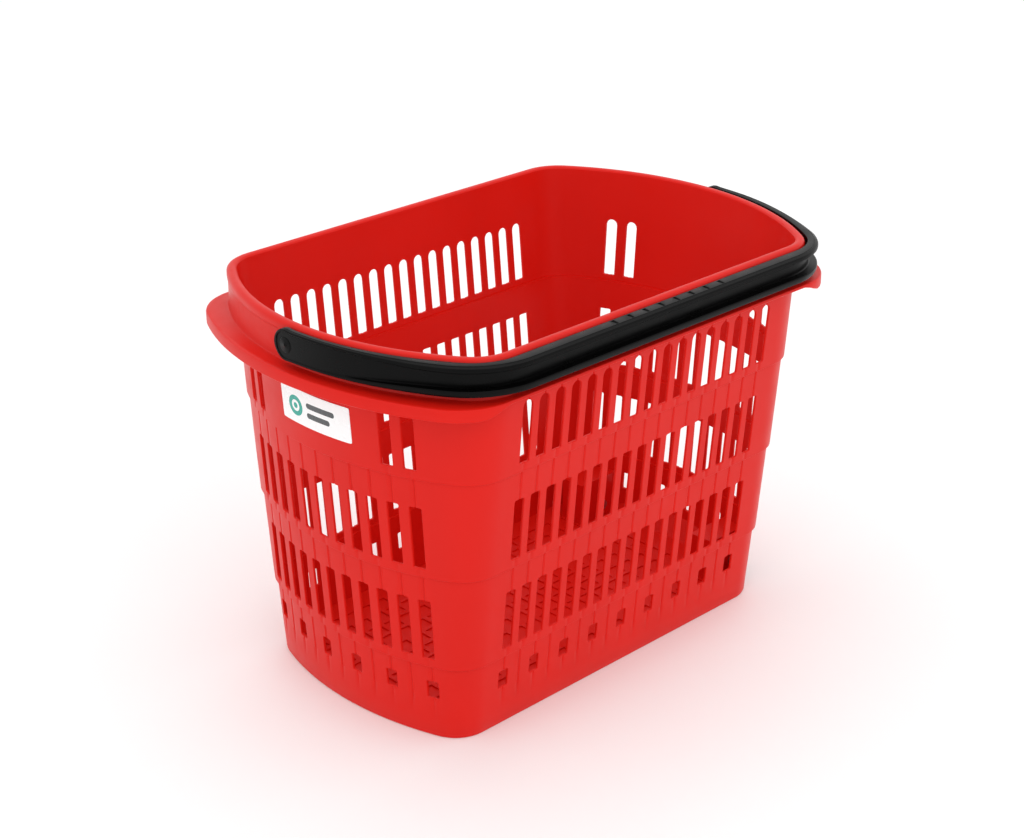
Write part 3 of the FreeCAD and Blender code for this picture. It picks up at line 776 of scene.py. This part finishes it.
# ---------------------------------------------------------------- carry bail
PIVOT_Z = sum(corner[2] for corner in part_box("pivot_pin_front")) / 2
BAIL_GAP = 2.2 * MM
BAIL_INSIDE = COLLAR.inset(-BAIL_GAP)
ARM_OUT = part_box("bail_handle")[1][0]
BAIL_OUTSIDE = Plan(ARM_OUT, -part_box("bail_handle")[0][1], 300.0 * MM, 75.0 * MM)
EYE_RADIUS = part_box("bail_handle")[1][2] - PIVOT_Z
BAIL_HALF = 13.5 * MM
BORDER, BAR_BORDER = 2.2 * MM, 6.0 * MM      # beside the sunk face, on the arms and the bar
ARM_RECESS = 0.8 * MM
ARM_ROUND, BAR_ROUND = 0.9 * MM, 1.6 * MM    # outer edge, and what the bar adds to it
BAR_FALL = 1.2 * MM         # how far the bar's upper face slopes down outwards
LINE_DEPTH = 0.35 * MM      # fine line along the upper face
NOTCH_PITCH, NOTCH_COUNT, NOTCH_LENGTH = 19.2 * MM, 8, 6.75 * MM
NOTCH_SIDE = 2.6 * MM        # side of the square that cuts a notch, set on its corner
NOTCH_START = 2.0 * MM       # bar's inner edge to its notches


def bail_spots():
    """Columns of the bail, from the tip of one arm round the bar to the other's."""
    tip = [-EYE_RADIUS * math.cos(math.radians(angle)) for angle in range(0, 90, 8)]
    arm = [0.0, 3 * MM, 6.5 * MM, 10 * MM]
    arm += [16 * MM + (END_REACH - 16 * MM) * i / 10 for i in range(11)]
    front = [("end", s, -1) for s in tip + arm]
    corner = [("corner", i / CORNER_STEPS, -1, -1) for i in range(1, CORNER_STEPS)]
    bar = [("side", -SIDE_REACH + 2 * SIDE_REACH * i / 40, -1) for i in range(21)]
    half = front + corner + bar
    return half + [mirrored(spot) for spot in half[-2::-1]]


def mirrored(spot):
    """The same column at the other end of the bail."""
    if spot[0] == "end":
        return "end", -spot[1], 1
    if spot[0] == "side":
        return "side", -spot[1], -1
    return "corner", spot[1], 1, -1


def bail_section(x, y, width):
    """Closed section of the bail at a column: (distance from the inside, height)."""
    half = BAIL_HALF
    if y > -EYE_RADIUS:
        half = max(half if y < 0 else 0.0, math.sqrt(max(EYE_RADIUS ** 2 - y ** 2, 0.0)))
    to_bar = smooth_step(-y, 0.2 * BAIL_OUTSIDE.half_width, 0.8 * BAIL_OUTSIDE.half_width)
    border = BORDER + (BAR_BORDER - BORDER) * to_bar
    deep = ARM_RECESS + (sizes().bail_recess - ARM_RECESS) * to_bar
    sunk = half - border
    if y > 0:
        sunk = math.sqrt(max((EYE_RADIUS - BORDER) ** 2 - y ** 2, 0.0))
        deep = min(deep, sunk)
    soft = min(1.0 * MM, half / 2)
    edge = min(0.8 * MM, sunk / 2, deep / 2)
    slope = min(1.0 * MM, deep / 2, sunk / 2)
    line = LINE_DEPTH * min(1.0, half / BAIL_HALF)
    outer = min(ARM_ROUND + BAR_ROUND * to_bar, half / 2)
    fall = BAR_FALL * to_bar
    return [
        (0, soft - half), (0, half - soft), (0.3 * soft, half - 0.3 * soft), (soft, half),
        (width - outer - 1.7 * MM, half - 0.5 * fall),
        (width - outer - 1.4 * MM, half - line - 0.6 * fall),
        (width - outer - 0.9 * MM, half - line - 0.7 * fall),
        (width - outer - 0.6 * MM, half - 0.8 * fall),
        (width - outer, half - fall),
        (width - 0.3 * outer, half - fall - 0.25 * outer), (width, half - fall - 0.8 * outer),
        (width, max(sunk + edge, 0)), (width - edge, sunk),
        (width - deep + slope, sunk - 0.2 * slope), (width - deep, sunk - slope),
        (width - deep, slope - sunk), (width - deep + slope, 0.2 * slope - sunk),
        (width - edge, -sunk), (width, min(-sunk - edge, 0)), (width, outer - half),
        (width - 0.3 * outer, 0.3 * outer - half), (width - outer, -half),
        (soft, -half), (0.3 * soft, 0.3 * soft - half),
    ]


def build_bail():
    """The bail: one swept channel whose arms end in round eyes, with its finger notches."""
    rows = []
    for spot in bail_spots():
        inner = Vector(BAIL_INSIDE.at(spot))
        outer = Vector(BAIL_OUTSIDE.at(spot))
        along = (outer - inner).normalized()
        row = []
        for out, up in bail_section(inner.x, inner.y, (outer - inner).length):
            x, y = inner + along * out
            row.append((x, y, PIVOT_Z + up))
        rows.append(closed(row))
    faces = []
    for lower, upper in zip(rows, rows[1:]):
        faces += strip(lower, upper)
    bail = mesh_object("bail", faces + [rows[0][:-1], rows[-1][:-1]])
    face_outwards(bail)
    material = bpy.data.materials["nylon_moulded_black"]
    start = -(NOTCH_COUNT - 1) / 2 * NOTCH_PITCH
    y = -BAIL_INSIDE.half_width - NOTCH_START - NOTCH_LENGTH / 2
    places = [(start + i * NOTCH_PITCH, y, PIVOT_Z + BAIL_HALF) for i in range(NOTCH_COUNT)]
    notches = repeated("finger_notches", places, [(0, math.pi / 4, 0)] * NOTCH_COUNT,
                       (NOTCH_SIDE, NOTCH_LENGTH, NOTCH_SIDE), material)
    combine(bail, notches, "DIFFERENCE")
    bail.data.materials.clear()
    bail.data.materials.append(material)
    return smooth(bail, 35)


# ---------------------------------------------------------------- small pieces
def middle(node):
    """Middle of a CAD node's box."""
    low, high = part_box(node)
    return Vector([(a + b) / 2 for a, b in zip(low, high)])


def build_pivot_pin(end, side):
    """Pivot pin: a shallow domed head with a gate mark, and its shank."""
    low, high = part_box("pivot_pin_" + end)
    face = max(abs(low[0]), abs(high[0]))
    inner = min(abs(low[0]), abs(high[0]))
    head, shank, thick = 7.0 * MM, 4.0 * MM, 1.6 * MM
    profile = [(0, 0.5 * MM), (0.9 * MM, 0.4 * MM), (1.5 * MM, 0), (1.7 * MM, -0.1 * MM),
               (head - 1.2 * MM, -0.15 * MM), (head - 0.4 * MM, -0.4 * MM), (head, -0.9 * MM),
               (head, -thick), (shank, -thick), (shank, inner - face + 0.6 * MM),
               (shank - 0.6 * MM, inner - face), (0, inner - face)]
    return smooth(turned("pivot_pin_" + end + "_moulded", profile,
                         (side * face, 0, PIVOT_Z), (side, 0, 0), 48))


TYRE_DEPTH, TREAD_DEPTH = 5.0 * MM, 0.8 * MM
RIB_COUNT, SPOKE_COUNT = 44, 8
RIB_ASIDE = 5.0 * MM         # middle of the tread to a row of ribs
RIB_SIZE = (2.0 * MM, 2.6 * MM, 1.5 * MM)
SPOKE_THICKNESS = 1.8 * MM


def build_tyre(name):
    """Solid tyre: round shoulders, two grooves round it and cross ribs between them."""
    low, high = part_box(name)
    radius = (high[2] - low[2]) / 2
    half = (high[1] - low[1]) / 2
    seat = radius - TYRE_DEPTH
    body = radius - 0.5 * MM
    deep = TREAD_DEPTH
    groove = [(body, 3.4 * MM), (body - deep, 3.1 * MM), (body - deep, 2.3 * MM),
              (body, 2.0 * MM)]
    shoulder = [(radius - 2.6 * MM, half - 0.1 * MM), (radius - 1.4 * MM, half - 0.8 * MM),
                (radius - 0.7 * MM, half - 1.8 * MM), (body, half - 3.2 * MM)]
    upper = [(seat, half - 0.4 * MM), (seat + 0.4 * MM, half), (radius - 3.4 * MM, half)]
    profile = upper + shoulder + groove
    profile += [(r, -a) for r, a in reversed(profile)]
    centre = middle(name)
    tyre = turned(name + "_tread", profile, centre, (0, 1, 0), 96)
    places, turns = [], []
    for i in range(RIB_COUNT):
        angle = 2 * math.pi * i / RIB_COUNT
        for along in (-RIB_ASIDE, RIB_ASIDE):
            places.append((centre.x + math.cos(angle) * (body - 0.5 * MM), centre.y + along,
                           centre.z + math.sin(angle) * (body - 0.5 * MM)))
            turns.append((0, -angle, 0))
    material = bpy.data.materials["elastomer_tread"]
    ribs = repeated("tread_ribs", places, turns, RIB_SIZE, material)
    whole = joined(name + "_tread", [tyre, ribs])
    whole.data.materials.append(material)
    return smooth(whole)


def build_hub(name):
    """Hub: rim, web and boss turned in one, with spokes standing in both faces."""
    low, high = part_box(name)
    centre = middle(name)
    half = (high[1] - low[1]) / 2
    rim = (high[2] - low[2]) / 2
    bore, boss, inside, deep, soft = 5.0 * MM, 8.0 * MM, rim - 3.0 * MM, 5.0 * MM, 0.5 * MM
    face = [(bore, half - soft), (bore + soft, half), (boss - soft, half), (boss, half - soft),
            (boss + 0.6 * MM, half - deep), (inside - 0.6 * MM, half - deep),
            (inside, half - soft), (inside + soft, half), (rim - soft, half), (rim, half - soft)]
    profile = face + [(r, -a) for r, a in reversed(face)]
    hub = turned(name + "_moulded", profile, centre, (0, 1, 0), 72)
    places, turns = [], []
    reach = (boss + inside) / 2
    for i in range(SPOKE_COUNT):
        angle = 2 * math.pi * i / SPOKE_COUNT
        places.append((centre.x + math.cos(angle) * reach, centre.y,
                       centre.z + math.sin(angle) * reach))
        turns.append((0, -angle, 0))
    material = bpy.data.materials["polypropylene_hub"]
    spokes = repeated("hub_spokes", places, turns,
                      (inside - boss + 0.8 * MM, 2 * half - 2 * MM, SPOKE_THICKNESS), material)
    whole = joined(name + "_moulded", [hub, spokes])
    whole.data.materials.append(material)
    return smooth(whole)


def build_axle_cap(name, side):
    """Push-on cap of an axle: domed, with a flat rim."""
    low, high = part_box(name)
    centre = middle(name)
    radius = (high[2] - low[2]) / 2
    half = (high[1] - low[1]) / 2
    profile = [(0, half), (radius * 0.45, half * 0.92), (radius * 0.75, half * 0.55),
               (radius * 0.88, 0), (radius, -half * 0.35), (radius, -half), (0, -half)]
    return smooth(turned(name + "_pressed", profile, centre, (0, side, 0), 40))


LABEL_GAP = 0.05 * MM       # glue between the wall and the film


def build_label():
    """Label: a thin film that follows the bowed end, with trimmed corners."""
    low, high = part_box("front_label")
    centre = (low[1] + high[1]) / 2
    reach = (high[1] - low[1]) / 2
    thickness = 0.4 * MM
    trim = 1.6 * MM
    tier = len(STEP_HEIGHTS)
    half = [(0, 0)] + [(reach * i / 12, 0) for i in range(1, 12)]
    half += [(reach - 0.5 * trim, 0.15 * trim), (reach - 0.15 * trim, 0.5 * trim), (reach, trim)]
    columns = [(-s, cut) for s, cut in half[:0:-1]] + half
    rings = []
    for s, cut in columns:
        ring = []
        for out, z in ((1, low[2] + cut), (1, high[2] - cut), (0, high[2] - cut),
                       (0, low[2] + cut)):
            plan = wall_plan(z, tier).inset(-LABEL_GAP - out * thickness)
            ring.append((*plan.at(("end", s - centre, -1)), z))
        rings.append(closed(ring))
    faces = []
    for lower, upper in zip(rings, rings[1:]):
        faces += strip(lower, upper)
    label = mesh_object("label_film", faces + [rings[0][:-1], rings[-1][:-1]])
    return smooth(face_outwards(label))


# ---------------------------------------------------------------- materials
def new_material(name, base, metallic, roughness, ior=None, **settings):
    """Material with a Principled shader and its base colour; metals keep the default IOR."""
    material = bpy.data.materials.new(name)
    material.use_nodes = True
    shader = material.node_tree.nodes["Principled BSDF"]
    shader.inputs["Base Color"].default_value = base
    shader.inputs["Metallic"].default_value = metallic
    shader.inputs["Roughness"].default_value = roughness
    if ior:
        shader.inputs["IOR"].default_value = ior
    for key, value in settings.items():
        shader.inputs[key.replace("_", " ")].default_value = value
    material.diffuse_color = base
    return material, material.node_tree, shader


def ramp(tree, source, stops):
    """Colour ramp with its stops, fed by another node's output."""
    added = node_in(tree, "ShaderNodeValToRGB", {}, {"Fac": source})
    elements = added.color_ramp.elements
    while len(elements) < len(stops):
        elements.new(0.5)
    for element, (position, value) in zip(elements, stops):
        element.position = position
        element.color = value if isinstance(value, tuple) else (value, value, value, 1)
    return added.outputs["Color"]


def darker(rgba, share):
    """A colour a share as bright."""
    return (*[c * share for c in rgba[:3]], 1.0)


def object_noise(tree, scale, detail=2.0, stretch=(1, 1, 1)):
    """Noise on object coordinates: scale in waves per metre, stretched along an axis."""
    place = node_in(tree, "ShaderNodeTexCoord")
    mapped = node_in(tree, "ShaderNodeMapping", {"Scale": stretch},
                     {"Vector": place.outputs["Object"]})
    noise = node_in(tree, "ShaderNodeTexNoise", {"Scale": scale, "Detail": detail},
                    {"Vector": mapped.outputs["Vector"]})
    return noise.outputs["Fac"]


def bump(tree, shader, height, strength, distance):
    """Bump from a height, a distance in metres deep."""
    relief = node_in(tree, "ShaderNodeBump", {"Strength": strength, "Distance": distance},
                     {"Height": height})
    tree.links.new(relief.outputs["Normal"], shader.inputs["Normal"])


def polypropylene_moulded():
    """Polypropylene, injection moulded and semi-gloss: soft wide highlights over a strong
    red, faint upright flow marks from filling the mould, and a fine skin left by the tool."""
    red = tuple(colours().shell)
    material, tree, shader = new_material("polypropylene_moulded", red, 0.0, 0.36, 1.49,
                                          Specular_IOR_Level=0.18)
    flow = object_noise(tree, 14.0, 3.0, (1, 1, 0.35))
    tree.links.new(ramp(tree, flow, [(0.3, darker(red, 0.94)), (0.7, red)]),
                   shader.inputs["Base Color"])
    tool = object_noise(tree, 60.0, 4.0)
    tree.links.new(ramp(tree, tool, [(0.3, 0.32), (0.75, 0.42)]), shader.inputs["Roughness"])
    # the tool's skin has a grain of about 1 mm, drawn coarse enough to show
    bump(tree, shader, object_noise(tree, 900.0, 2.0), 0.08, 0.0002)
    return material


def nylon_moulded_black():
    """Glass-filled nylon, moulded on a polished tool: deep black that mirrors soft lights,
    with a slightly duller top where hands wear it."""
    black = tuple(colours().bail)
    material, tree, shader = new_material("nylon_moulded_black", black, 0.0, 0.3, 1.53,
                                          Specular_IOR_Level=0.09)
    worn = object_noise(tree, 45.0, 4.0)
    tree.links.new(ramp(tree, worn, [(0.3, 0.24), (0.75, 0.38)]), shader.inputs["Roughness"])
    tint = object_noise(tree, 25.0, 2.0)
    tree.links.new(ramp(tree, tint, [(0.35, black), (0.7, darker(black, 1.5))]),
                   shader.inputs["Base Color"])
    bump(tree, shader, object_noise(tree, 700.0, 3.0), 0.06, 0.0002)
    return material


def acetal_natural():
    """Acetal, undyed and machined: waxy off-white with faint turning marks."""
    base = tuple(colours().natural)
    material, tree, shader = new_material("acetal_natural", base, 0.0, 0.4, 1.48,
                                          Subsurface_Weight=0.05)
    marks = object_noise(tree, 1500.0, 1.0)
    tree.links.new(ramp(tree, marks, [(0.3, darker(base, 0.9)), (0.7, base)]),
                   shader.inputs["Base Color"])
    bump(tree, shader, marks, 0.1, 0.0001)
    return material


def spring_steel_phosphated():
    """Spring steel, stamped and phosphated: dark grey, with a fine crystalline coat."""
    base = hex_colour("55585c")
    material, tree, shader = new_material("spring_steel_phosphated", base, 1.0, 0.45)
    coat = object_noise(tree, 2500.0, 2.0)
    tree.links.new(ramp(tree, coat, [(0.3, darker(base, 0.7)), (0.7, base)]),
                   shader.inputs["Base Color"])
    tree.links.new(ramp(tree, coat, [(0.3, 0.55), (0.7, 0.38)]), shader.inputs["Roughness"])
    return material


def steel_zinc_plated():
    """Steel rod, drawn and zinc plated: bright, with fine lines along the rod."""
    base = hex_colour("b9bcc0")
    material, tree, shader = new_material("steel_zinc_plated", base, 1.0, 0.32)
    drawn = object_noise(tree, 3000.0, 2.0, (1, 0.03, 1))
    tree.links.new(ramp(tree, drawn, [(0.3, 0.25), (0.7, 0.42)]), shader.inputs["Roughness"])
    tree.links.new(ramp(tree, drawn, [(0.3, darker(base, 0.85)), (0.7, base)]),
                   shader.inputs["Base Color"])
    bump(tree, shader, drawn, 0.05, 0.0001)
    return material


def elastomer_tread():
    """Thermoplastic elastomer, moulded: matte, scuffed grey where it has rolled."""
    base = tuple(colours().tyre)
    material, tree, shader = new_material("elastomer_tread", base, 0.0, 0.75, 1.5)
    scuff = object_noise(tree, 220.0, 5.0)
    tree.links.new(ramp(tree, scuff, [(0.45, base), (0.75, darker(base, 3.0))]),
                   shader.inputs["Base Color"])
    bump(tree, shader, object_noise(tree, 1600.0, 3.0), 0.25, 0.0002)
    return material


def polypropylene_hub():
    """Polypropylene, moulded grey: satin, with a fine spark-eroded grain."""
    base = tuple(colours().hub)
    material, tree, shader = new_material("polypropylene_hub", base, 0.0, 0.5, 1.49)
    grain = object_noise(tree, 1200.0, 3.0)
    tree.links.new(ramp(tree, grain, [(0.3, darker(base, 0.85)), (0.7, base)]),
                   shader.inputs["Base Color"])
    bump(tree, shader, grain, 0.15, 0.0002)
    return material


def shape_mask(tree, place, limits):
    """1 inside a rounded box on the label: middle (y, z), half sizes and corner radius."""
    (mid_y, mid_z), (half_y, half_z), radius = limits
    shares = []
    for axis, centre, half in (("Y", mid_y, half_y), ("Z", mid_z, half_z)):
        offset = node_in(tree, "ShaderNodeMath", {"operation": "SUBTRACT", 1: centre},
                         {0: place.outputs[axis]})
        far = node_in(tree, "ShaderNodeMath", {"operation": "ABSOLUTE"},
                      {0: offset.outputs["Value"]})
        past = node_in(tree, "ShaderNodeMath", {"operation": "SUBTRACT", 1: half - radius},
                       {0: far.outputs["Value"]})
        kept = node_in(tree, "ShaderNodeMath", {"operation": "MAXIMUM", 1: 0.0},
                       {0: past.outputs["Value"]})
        shares.append(node_in(tree, "ShaderNodeMath", {"operation": "MULTIPLY"},
                              {0: kept.outputs["Value"], 1: kept.outputs["Value"]}))
    total = node_in(tree, "ShaderNodeMath", {"operation": "ADD"},
                    {0: shares[0].outputs["Value"], 1: shares[1].outputs["Value"]})
    return node_in(tree, "ShaderNodeMath", {"operation": "LESS_THAN", 1: radius ** 2},
                   {0: total.outputs["Value"]}).outputs["Value"]


def film_printed():
    """Polyester film, printed and glued on: white and glossy, with a plain roundel and
    two plain bars in place of any mark."""
    ground = tuple(colours().label_ground)
    material, tree, shader = new_material("film_printed", ground, 0.0, 0.25, 1.57)
    coordinates = node_in(tree, "ShaderNodeTexCoord")
    place = node_in(tree, "ShaderNodeSeparateXYZ", {}, {"Vector": coordinates.outputs["Object"]})
    low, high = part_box("front_label")
    mid_y, mid_z = (low[1] + high[1]) / 2, (low[2] + high[2]) / 2
    mark, bars = tuple(colours().label_mark), tuple(colours().label_bars)
    disc = 9.5 * MM
    shapes = [
        (((mid_y + 23 * MM, mid_z), (disc, disc), disc), mark),
        (((mid_y + 23 * MM, mid_z), (0.55 * disc, 0.55 * disc), 0.55 * disc), ground),
        (((mid_y + 23 * MM, mid_z), (0.28 * disc, 0.28 * disc), 0.28 * disc), mark),
        (((mid_y - 9 * MM, mid_z + 4.6 * MM), (17 * MM, 2.6 * MM), 2.5 * MM), bars),
        (((mid_y - 6 * MM, mid_z - 4.6 * MM), (14 * MM, 2.6 * MM), 2.5 * MM), bars),
    ]
    paint = ground
    for limits, ink in shapes:
        mix = node_in(tree, "ShaderNodeMix", {"data_type": "RGBA", 7: ink},
                      {"Factor": shape_mask(tree, place, limits)})
        if isinstance(paint, tuple):
            mix.inputs[6].default_value = paint
        else:
            tree.links.new(paint, mix.inputs[6])
        paint = mix.outputs[2]
    tree.links.new(paint, shader.inputs["Base Color"])
    film = object_noise(tree, 120.0, 2.0)
    tree.links.new(ramp(tree, film, [(0.3, 0.2), (0.7, 0.32)]), shader.inputs["Roughness"])
    return material


def floor_painted():
    """Floor of the studio: matt white paint with a trace of roller texture."""
    base = hex_colour("ffffff")
    material, tree, shader = new_material("floor_painted", base, 0.0, 0.7, 1.5)
    bump(tree, shader, object_noise(tree, 90.0, 3.0), 0.02, 0.0005)
    return material


MATERIALS = [polypropylene_moulded, nylon_moulded_black, acetal_natural,
             spring_steel_phosphated, steel_zinc_plated, elastomer_tread, polypropylene_hub,
             film_printed, floor_painted]
SIDES = {"left": 1, "right": -1}
ENDS = {"front": -1, "rear": 1}


def paint(obj, material):
    """Gives an object one material."""
    obj.data.materials.clear()
    obj.data.materials.append(bpy.data.materials[material])
    return obj


def finish_piece(obj, body, nodes, material=None):
    """Attaches a finished piece: the body it rides on, the nodes it stands for, and the material
    it is painted with, if one is given.
    """
    if material:
        paint(obj, material)
    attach(obj, body)
    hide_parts(*nodes)


# ---------------------------------------------------------------- stage
VIEW_AZIMUTH, VIEW_ELEVATION = -44.88, 24.07
VIEW_DISTANCE = 1.9416
VIEW_TARGET = Vector((0.0035, -0.0034, 0.2080))
LENS, SENSOR = 73.2, 36.0
VIEW_SHIFT = -0.0139


def build_camera():
    """Camera at the product's three-quarter view."""
    data = bpy.data.cameras.new("camera")
    data.lens = LENS
    data.sensor_width = SENSOR
    data.shift_x = VIEW_SHIFT
    data.clip_end = 50.0
    azimuth, elevation = math.radians(VIEW_AZIMUTH), math.radians(VIEW_ELEVATION)
    back = Vector((math.sin(azimuth) * math.cos(elevation),
                   -math.cos(azimuth) * math.cos(elevation), math.sin(elevation)))
    camera = bpy.data.objects.new("camera", data)
    camera.location = VIEW_TARGET + back * VIEW_DISTANCE
    camera.rotation_euler = back.to_track_quat("Z", "Y").to_euler()
    bpy.context.scene.collection.objects.link(camera)
    bpy.context.scene.camera = camera


def soft_light(name, place, target, size, power):
    """Square soft box that looks at a target."""
    data = bpy.data.lights.new(name, "AREA")
    data.shape = "SQUARE"
    data.size = size
    data.energy = power
    light = bpy.data.objects.new(name, data)
    light.location = place
    light.rotation_euler = (Vector(place) - Vector(target)).to_track_quat("Z", "Y").to_euler()
    bpy.context.scene.collection.objects.link(light)
    return light


def build_lights():
    """Even white surroundings and three soft boxes."""
    world = bpy.data.worlds.new("studio")
    world.use_nodes = True
    background = world.node_tree.nodes["Background"]
    background.inputs["Color"].default_value = (1, 1, 1, 1)
    background.inputs["Strength"].default_value = 0.97
    bpy.context.scene.world = world
    target = (0, 0, 0.2)
    soft_light("key", (-0.9, -2.4, 2.6), target, 1.6, 12.0)
    soft_light("fill", (-2.6, -0.4, 1.4), target, 1.4, 2.0)
    soft_light("top", (0.2, 0.4, 3.0), target, 2.0, 10.0)
    bpy.context.scene.view_settings.view_transform = "Standard"


# ---------------------------------------------------------------- operators
class BASKET_OT_materials(bpy.types.Operator):
    """Make every material"""

    bl_idname = "basket.materials"
    bl_label = "Materials"

    def execute(self, context):
        for make in MATERIALS:
            make()
        return {"FINISHED"}


class BASKET_OT_shell(bpy.types.Operator):
    """Mould the basket: tiered slotted walls, rim, flange, floor grid and wheel wells"""

    bl_idname = "basket.shell"
    bl_label = "Basket shell"

    def execute(self, context):
        finish_piece(build_shell(), "basket", ["basket_body"])
        return {"FINISHED"}


class BASKET_OT_bail(bpy.types.Operator):
    """Mould the carry bail with its channel and finger notches"""

    bl_idname = "basket.bail"
    bl_label = "Carry bail"

    def execute(self, context):
        finish_piece(build_bail(), "bail", ["bail_handle"])
        return {"FINISHED"}


class BASKET_OT_pivots(bpy.types.Operator):
    """Make the pivot pins and finish the bushes, washers and clips of the bail"""

    bl_idname = "basket.pivots"
    bl_label = "Bail pivots"

    def execute(self, context):
        for end, side in ENDS.items():
            finish_piece(build_pivot_pin(end, side), "basket", ["pivot_pin_" + end],
                         "nylon_moulded_black")
            paint(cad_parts["pivot_bush_" + end], "acetal_natural")
            paint(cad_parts["pivot_washer_" + end], "acetal_natural")
            paint(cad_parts["pivot_clip_" + end], "spring_steel_phosphated")
        return {"FINISHED"}


class BASKET_OT_label(bpy.types.Operator):
    """Cut and print the label of the front end"""

    bl_idname = "basket.label"
    bl_label = "Label"

    def execute(self, context):
        finish_piece(build_label(), "basket", ["front_label"], "film_printed")
        return {"FINISHED"}


class BASKET_OT_wheels(bpy.types.Operator):
    """Make both transport wheels with their axles, bushes and washers"""

    bl_idname = "basket.wheels"
    bl_label = "Wheels"

    def execute(self, context):
        for name, side in SIDES.items():
            body = "wheel_" + name
            finish_piece(build_tyre("tyre_" + name), body, ["tyre_" + name])
            finish_piece(build_hub("wheel_hub_" + name), body, ["wheel_hub_" + name])
            finish_piece(build_axle_cap("axle_cap_" + name, side), "basket",
                         ["axle_cap_" + name], "steel_zinc_plated")
            paint(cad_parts["axle_" + name], "steel_zinc_plated")
            for ring in ("wheel_bush_", "spacer_inner_", "spacer_outer_"):
                paint(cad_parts[ring + name], "acetal_natural")
        return {"FINISHED"}


class BASKET_OT_stage(bpy.types.Operator):
    """Lay the floor, set the soft lights and the camera"""

    bl_idname = "basket.stage"
    bl_label = "Stage"

    def execute(self, context):
        reach = 40.0
        floor = mesh_object("floor", [[(-reach, -reach, 0), (reach, -reach, 0),
                                       (reach, reach, 0), (-reach, reach, 0)]])
        paint(floor, "floor_painted")
        build_lights()
        build_camera()
        return {"FINISHED"}


class BASKET_PT_panel(bpy.types.Panel):
    """Sizes, colours and making of the basket"""

    bl_idname = "BASKET_PT_panel"
    bl_label = "Rolling basket"
    bl_space_type = "VIEW_3D"
    bl_region_type = "UI"
    bl_category = "Basket"

    def draw(self, context):
        for group in (context.scene.basket_sizes, context.scene.basket_colours):
            column = self.layout.column()
            for prop in group.bl_rna.properties:
                if prop.identifier not in ("rna_type", "name"):
                    column.prop(group, prop.identifier)
        for maker in MAKERS:
            self.layout.operator(maker.bl_idname)


MAKERS = [BASKET_OT_materials, BASKET_OT_shell, BASKET_OT_bail, BASKET_OT_pivots,
          BASKET_OT_label, BASKET_OT_wheels, BASKET_OT_stage]
CLASSES = [BasketSizes, BasketColours, *MAKERS, BASKET_PT_panel]


def register():
    """Registers the classes and the scene's settings."""
    for cls in CLASSES:
        bpy.utils.register_class(cls)
    bpy.types.Scene.basket_sizes = PointerProperty(type=BasketSizes)
    bpy.types.Scene.basket_colours = PointerProperty(type=BasketColours)


def unregister():
    """Takes the settings and classes away again."""
    del bpy.types.Scene.basket_colours
    del bpy.types.Scene.basket_sizes
    for cls in reversed(CLASSES):
        bpy.utils.unregister_class(cls)


def main():
    register()
    for maker in MAKERS:
        group, name = maker.bl_idname.split(".")
        getattr(getattr(bpy.ops, group), name)()


if __name__ == "__main__":
    main()
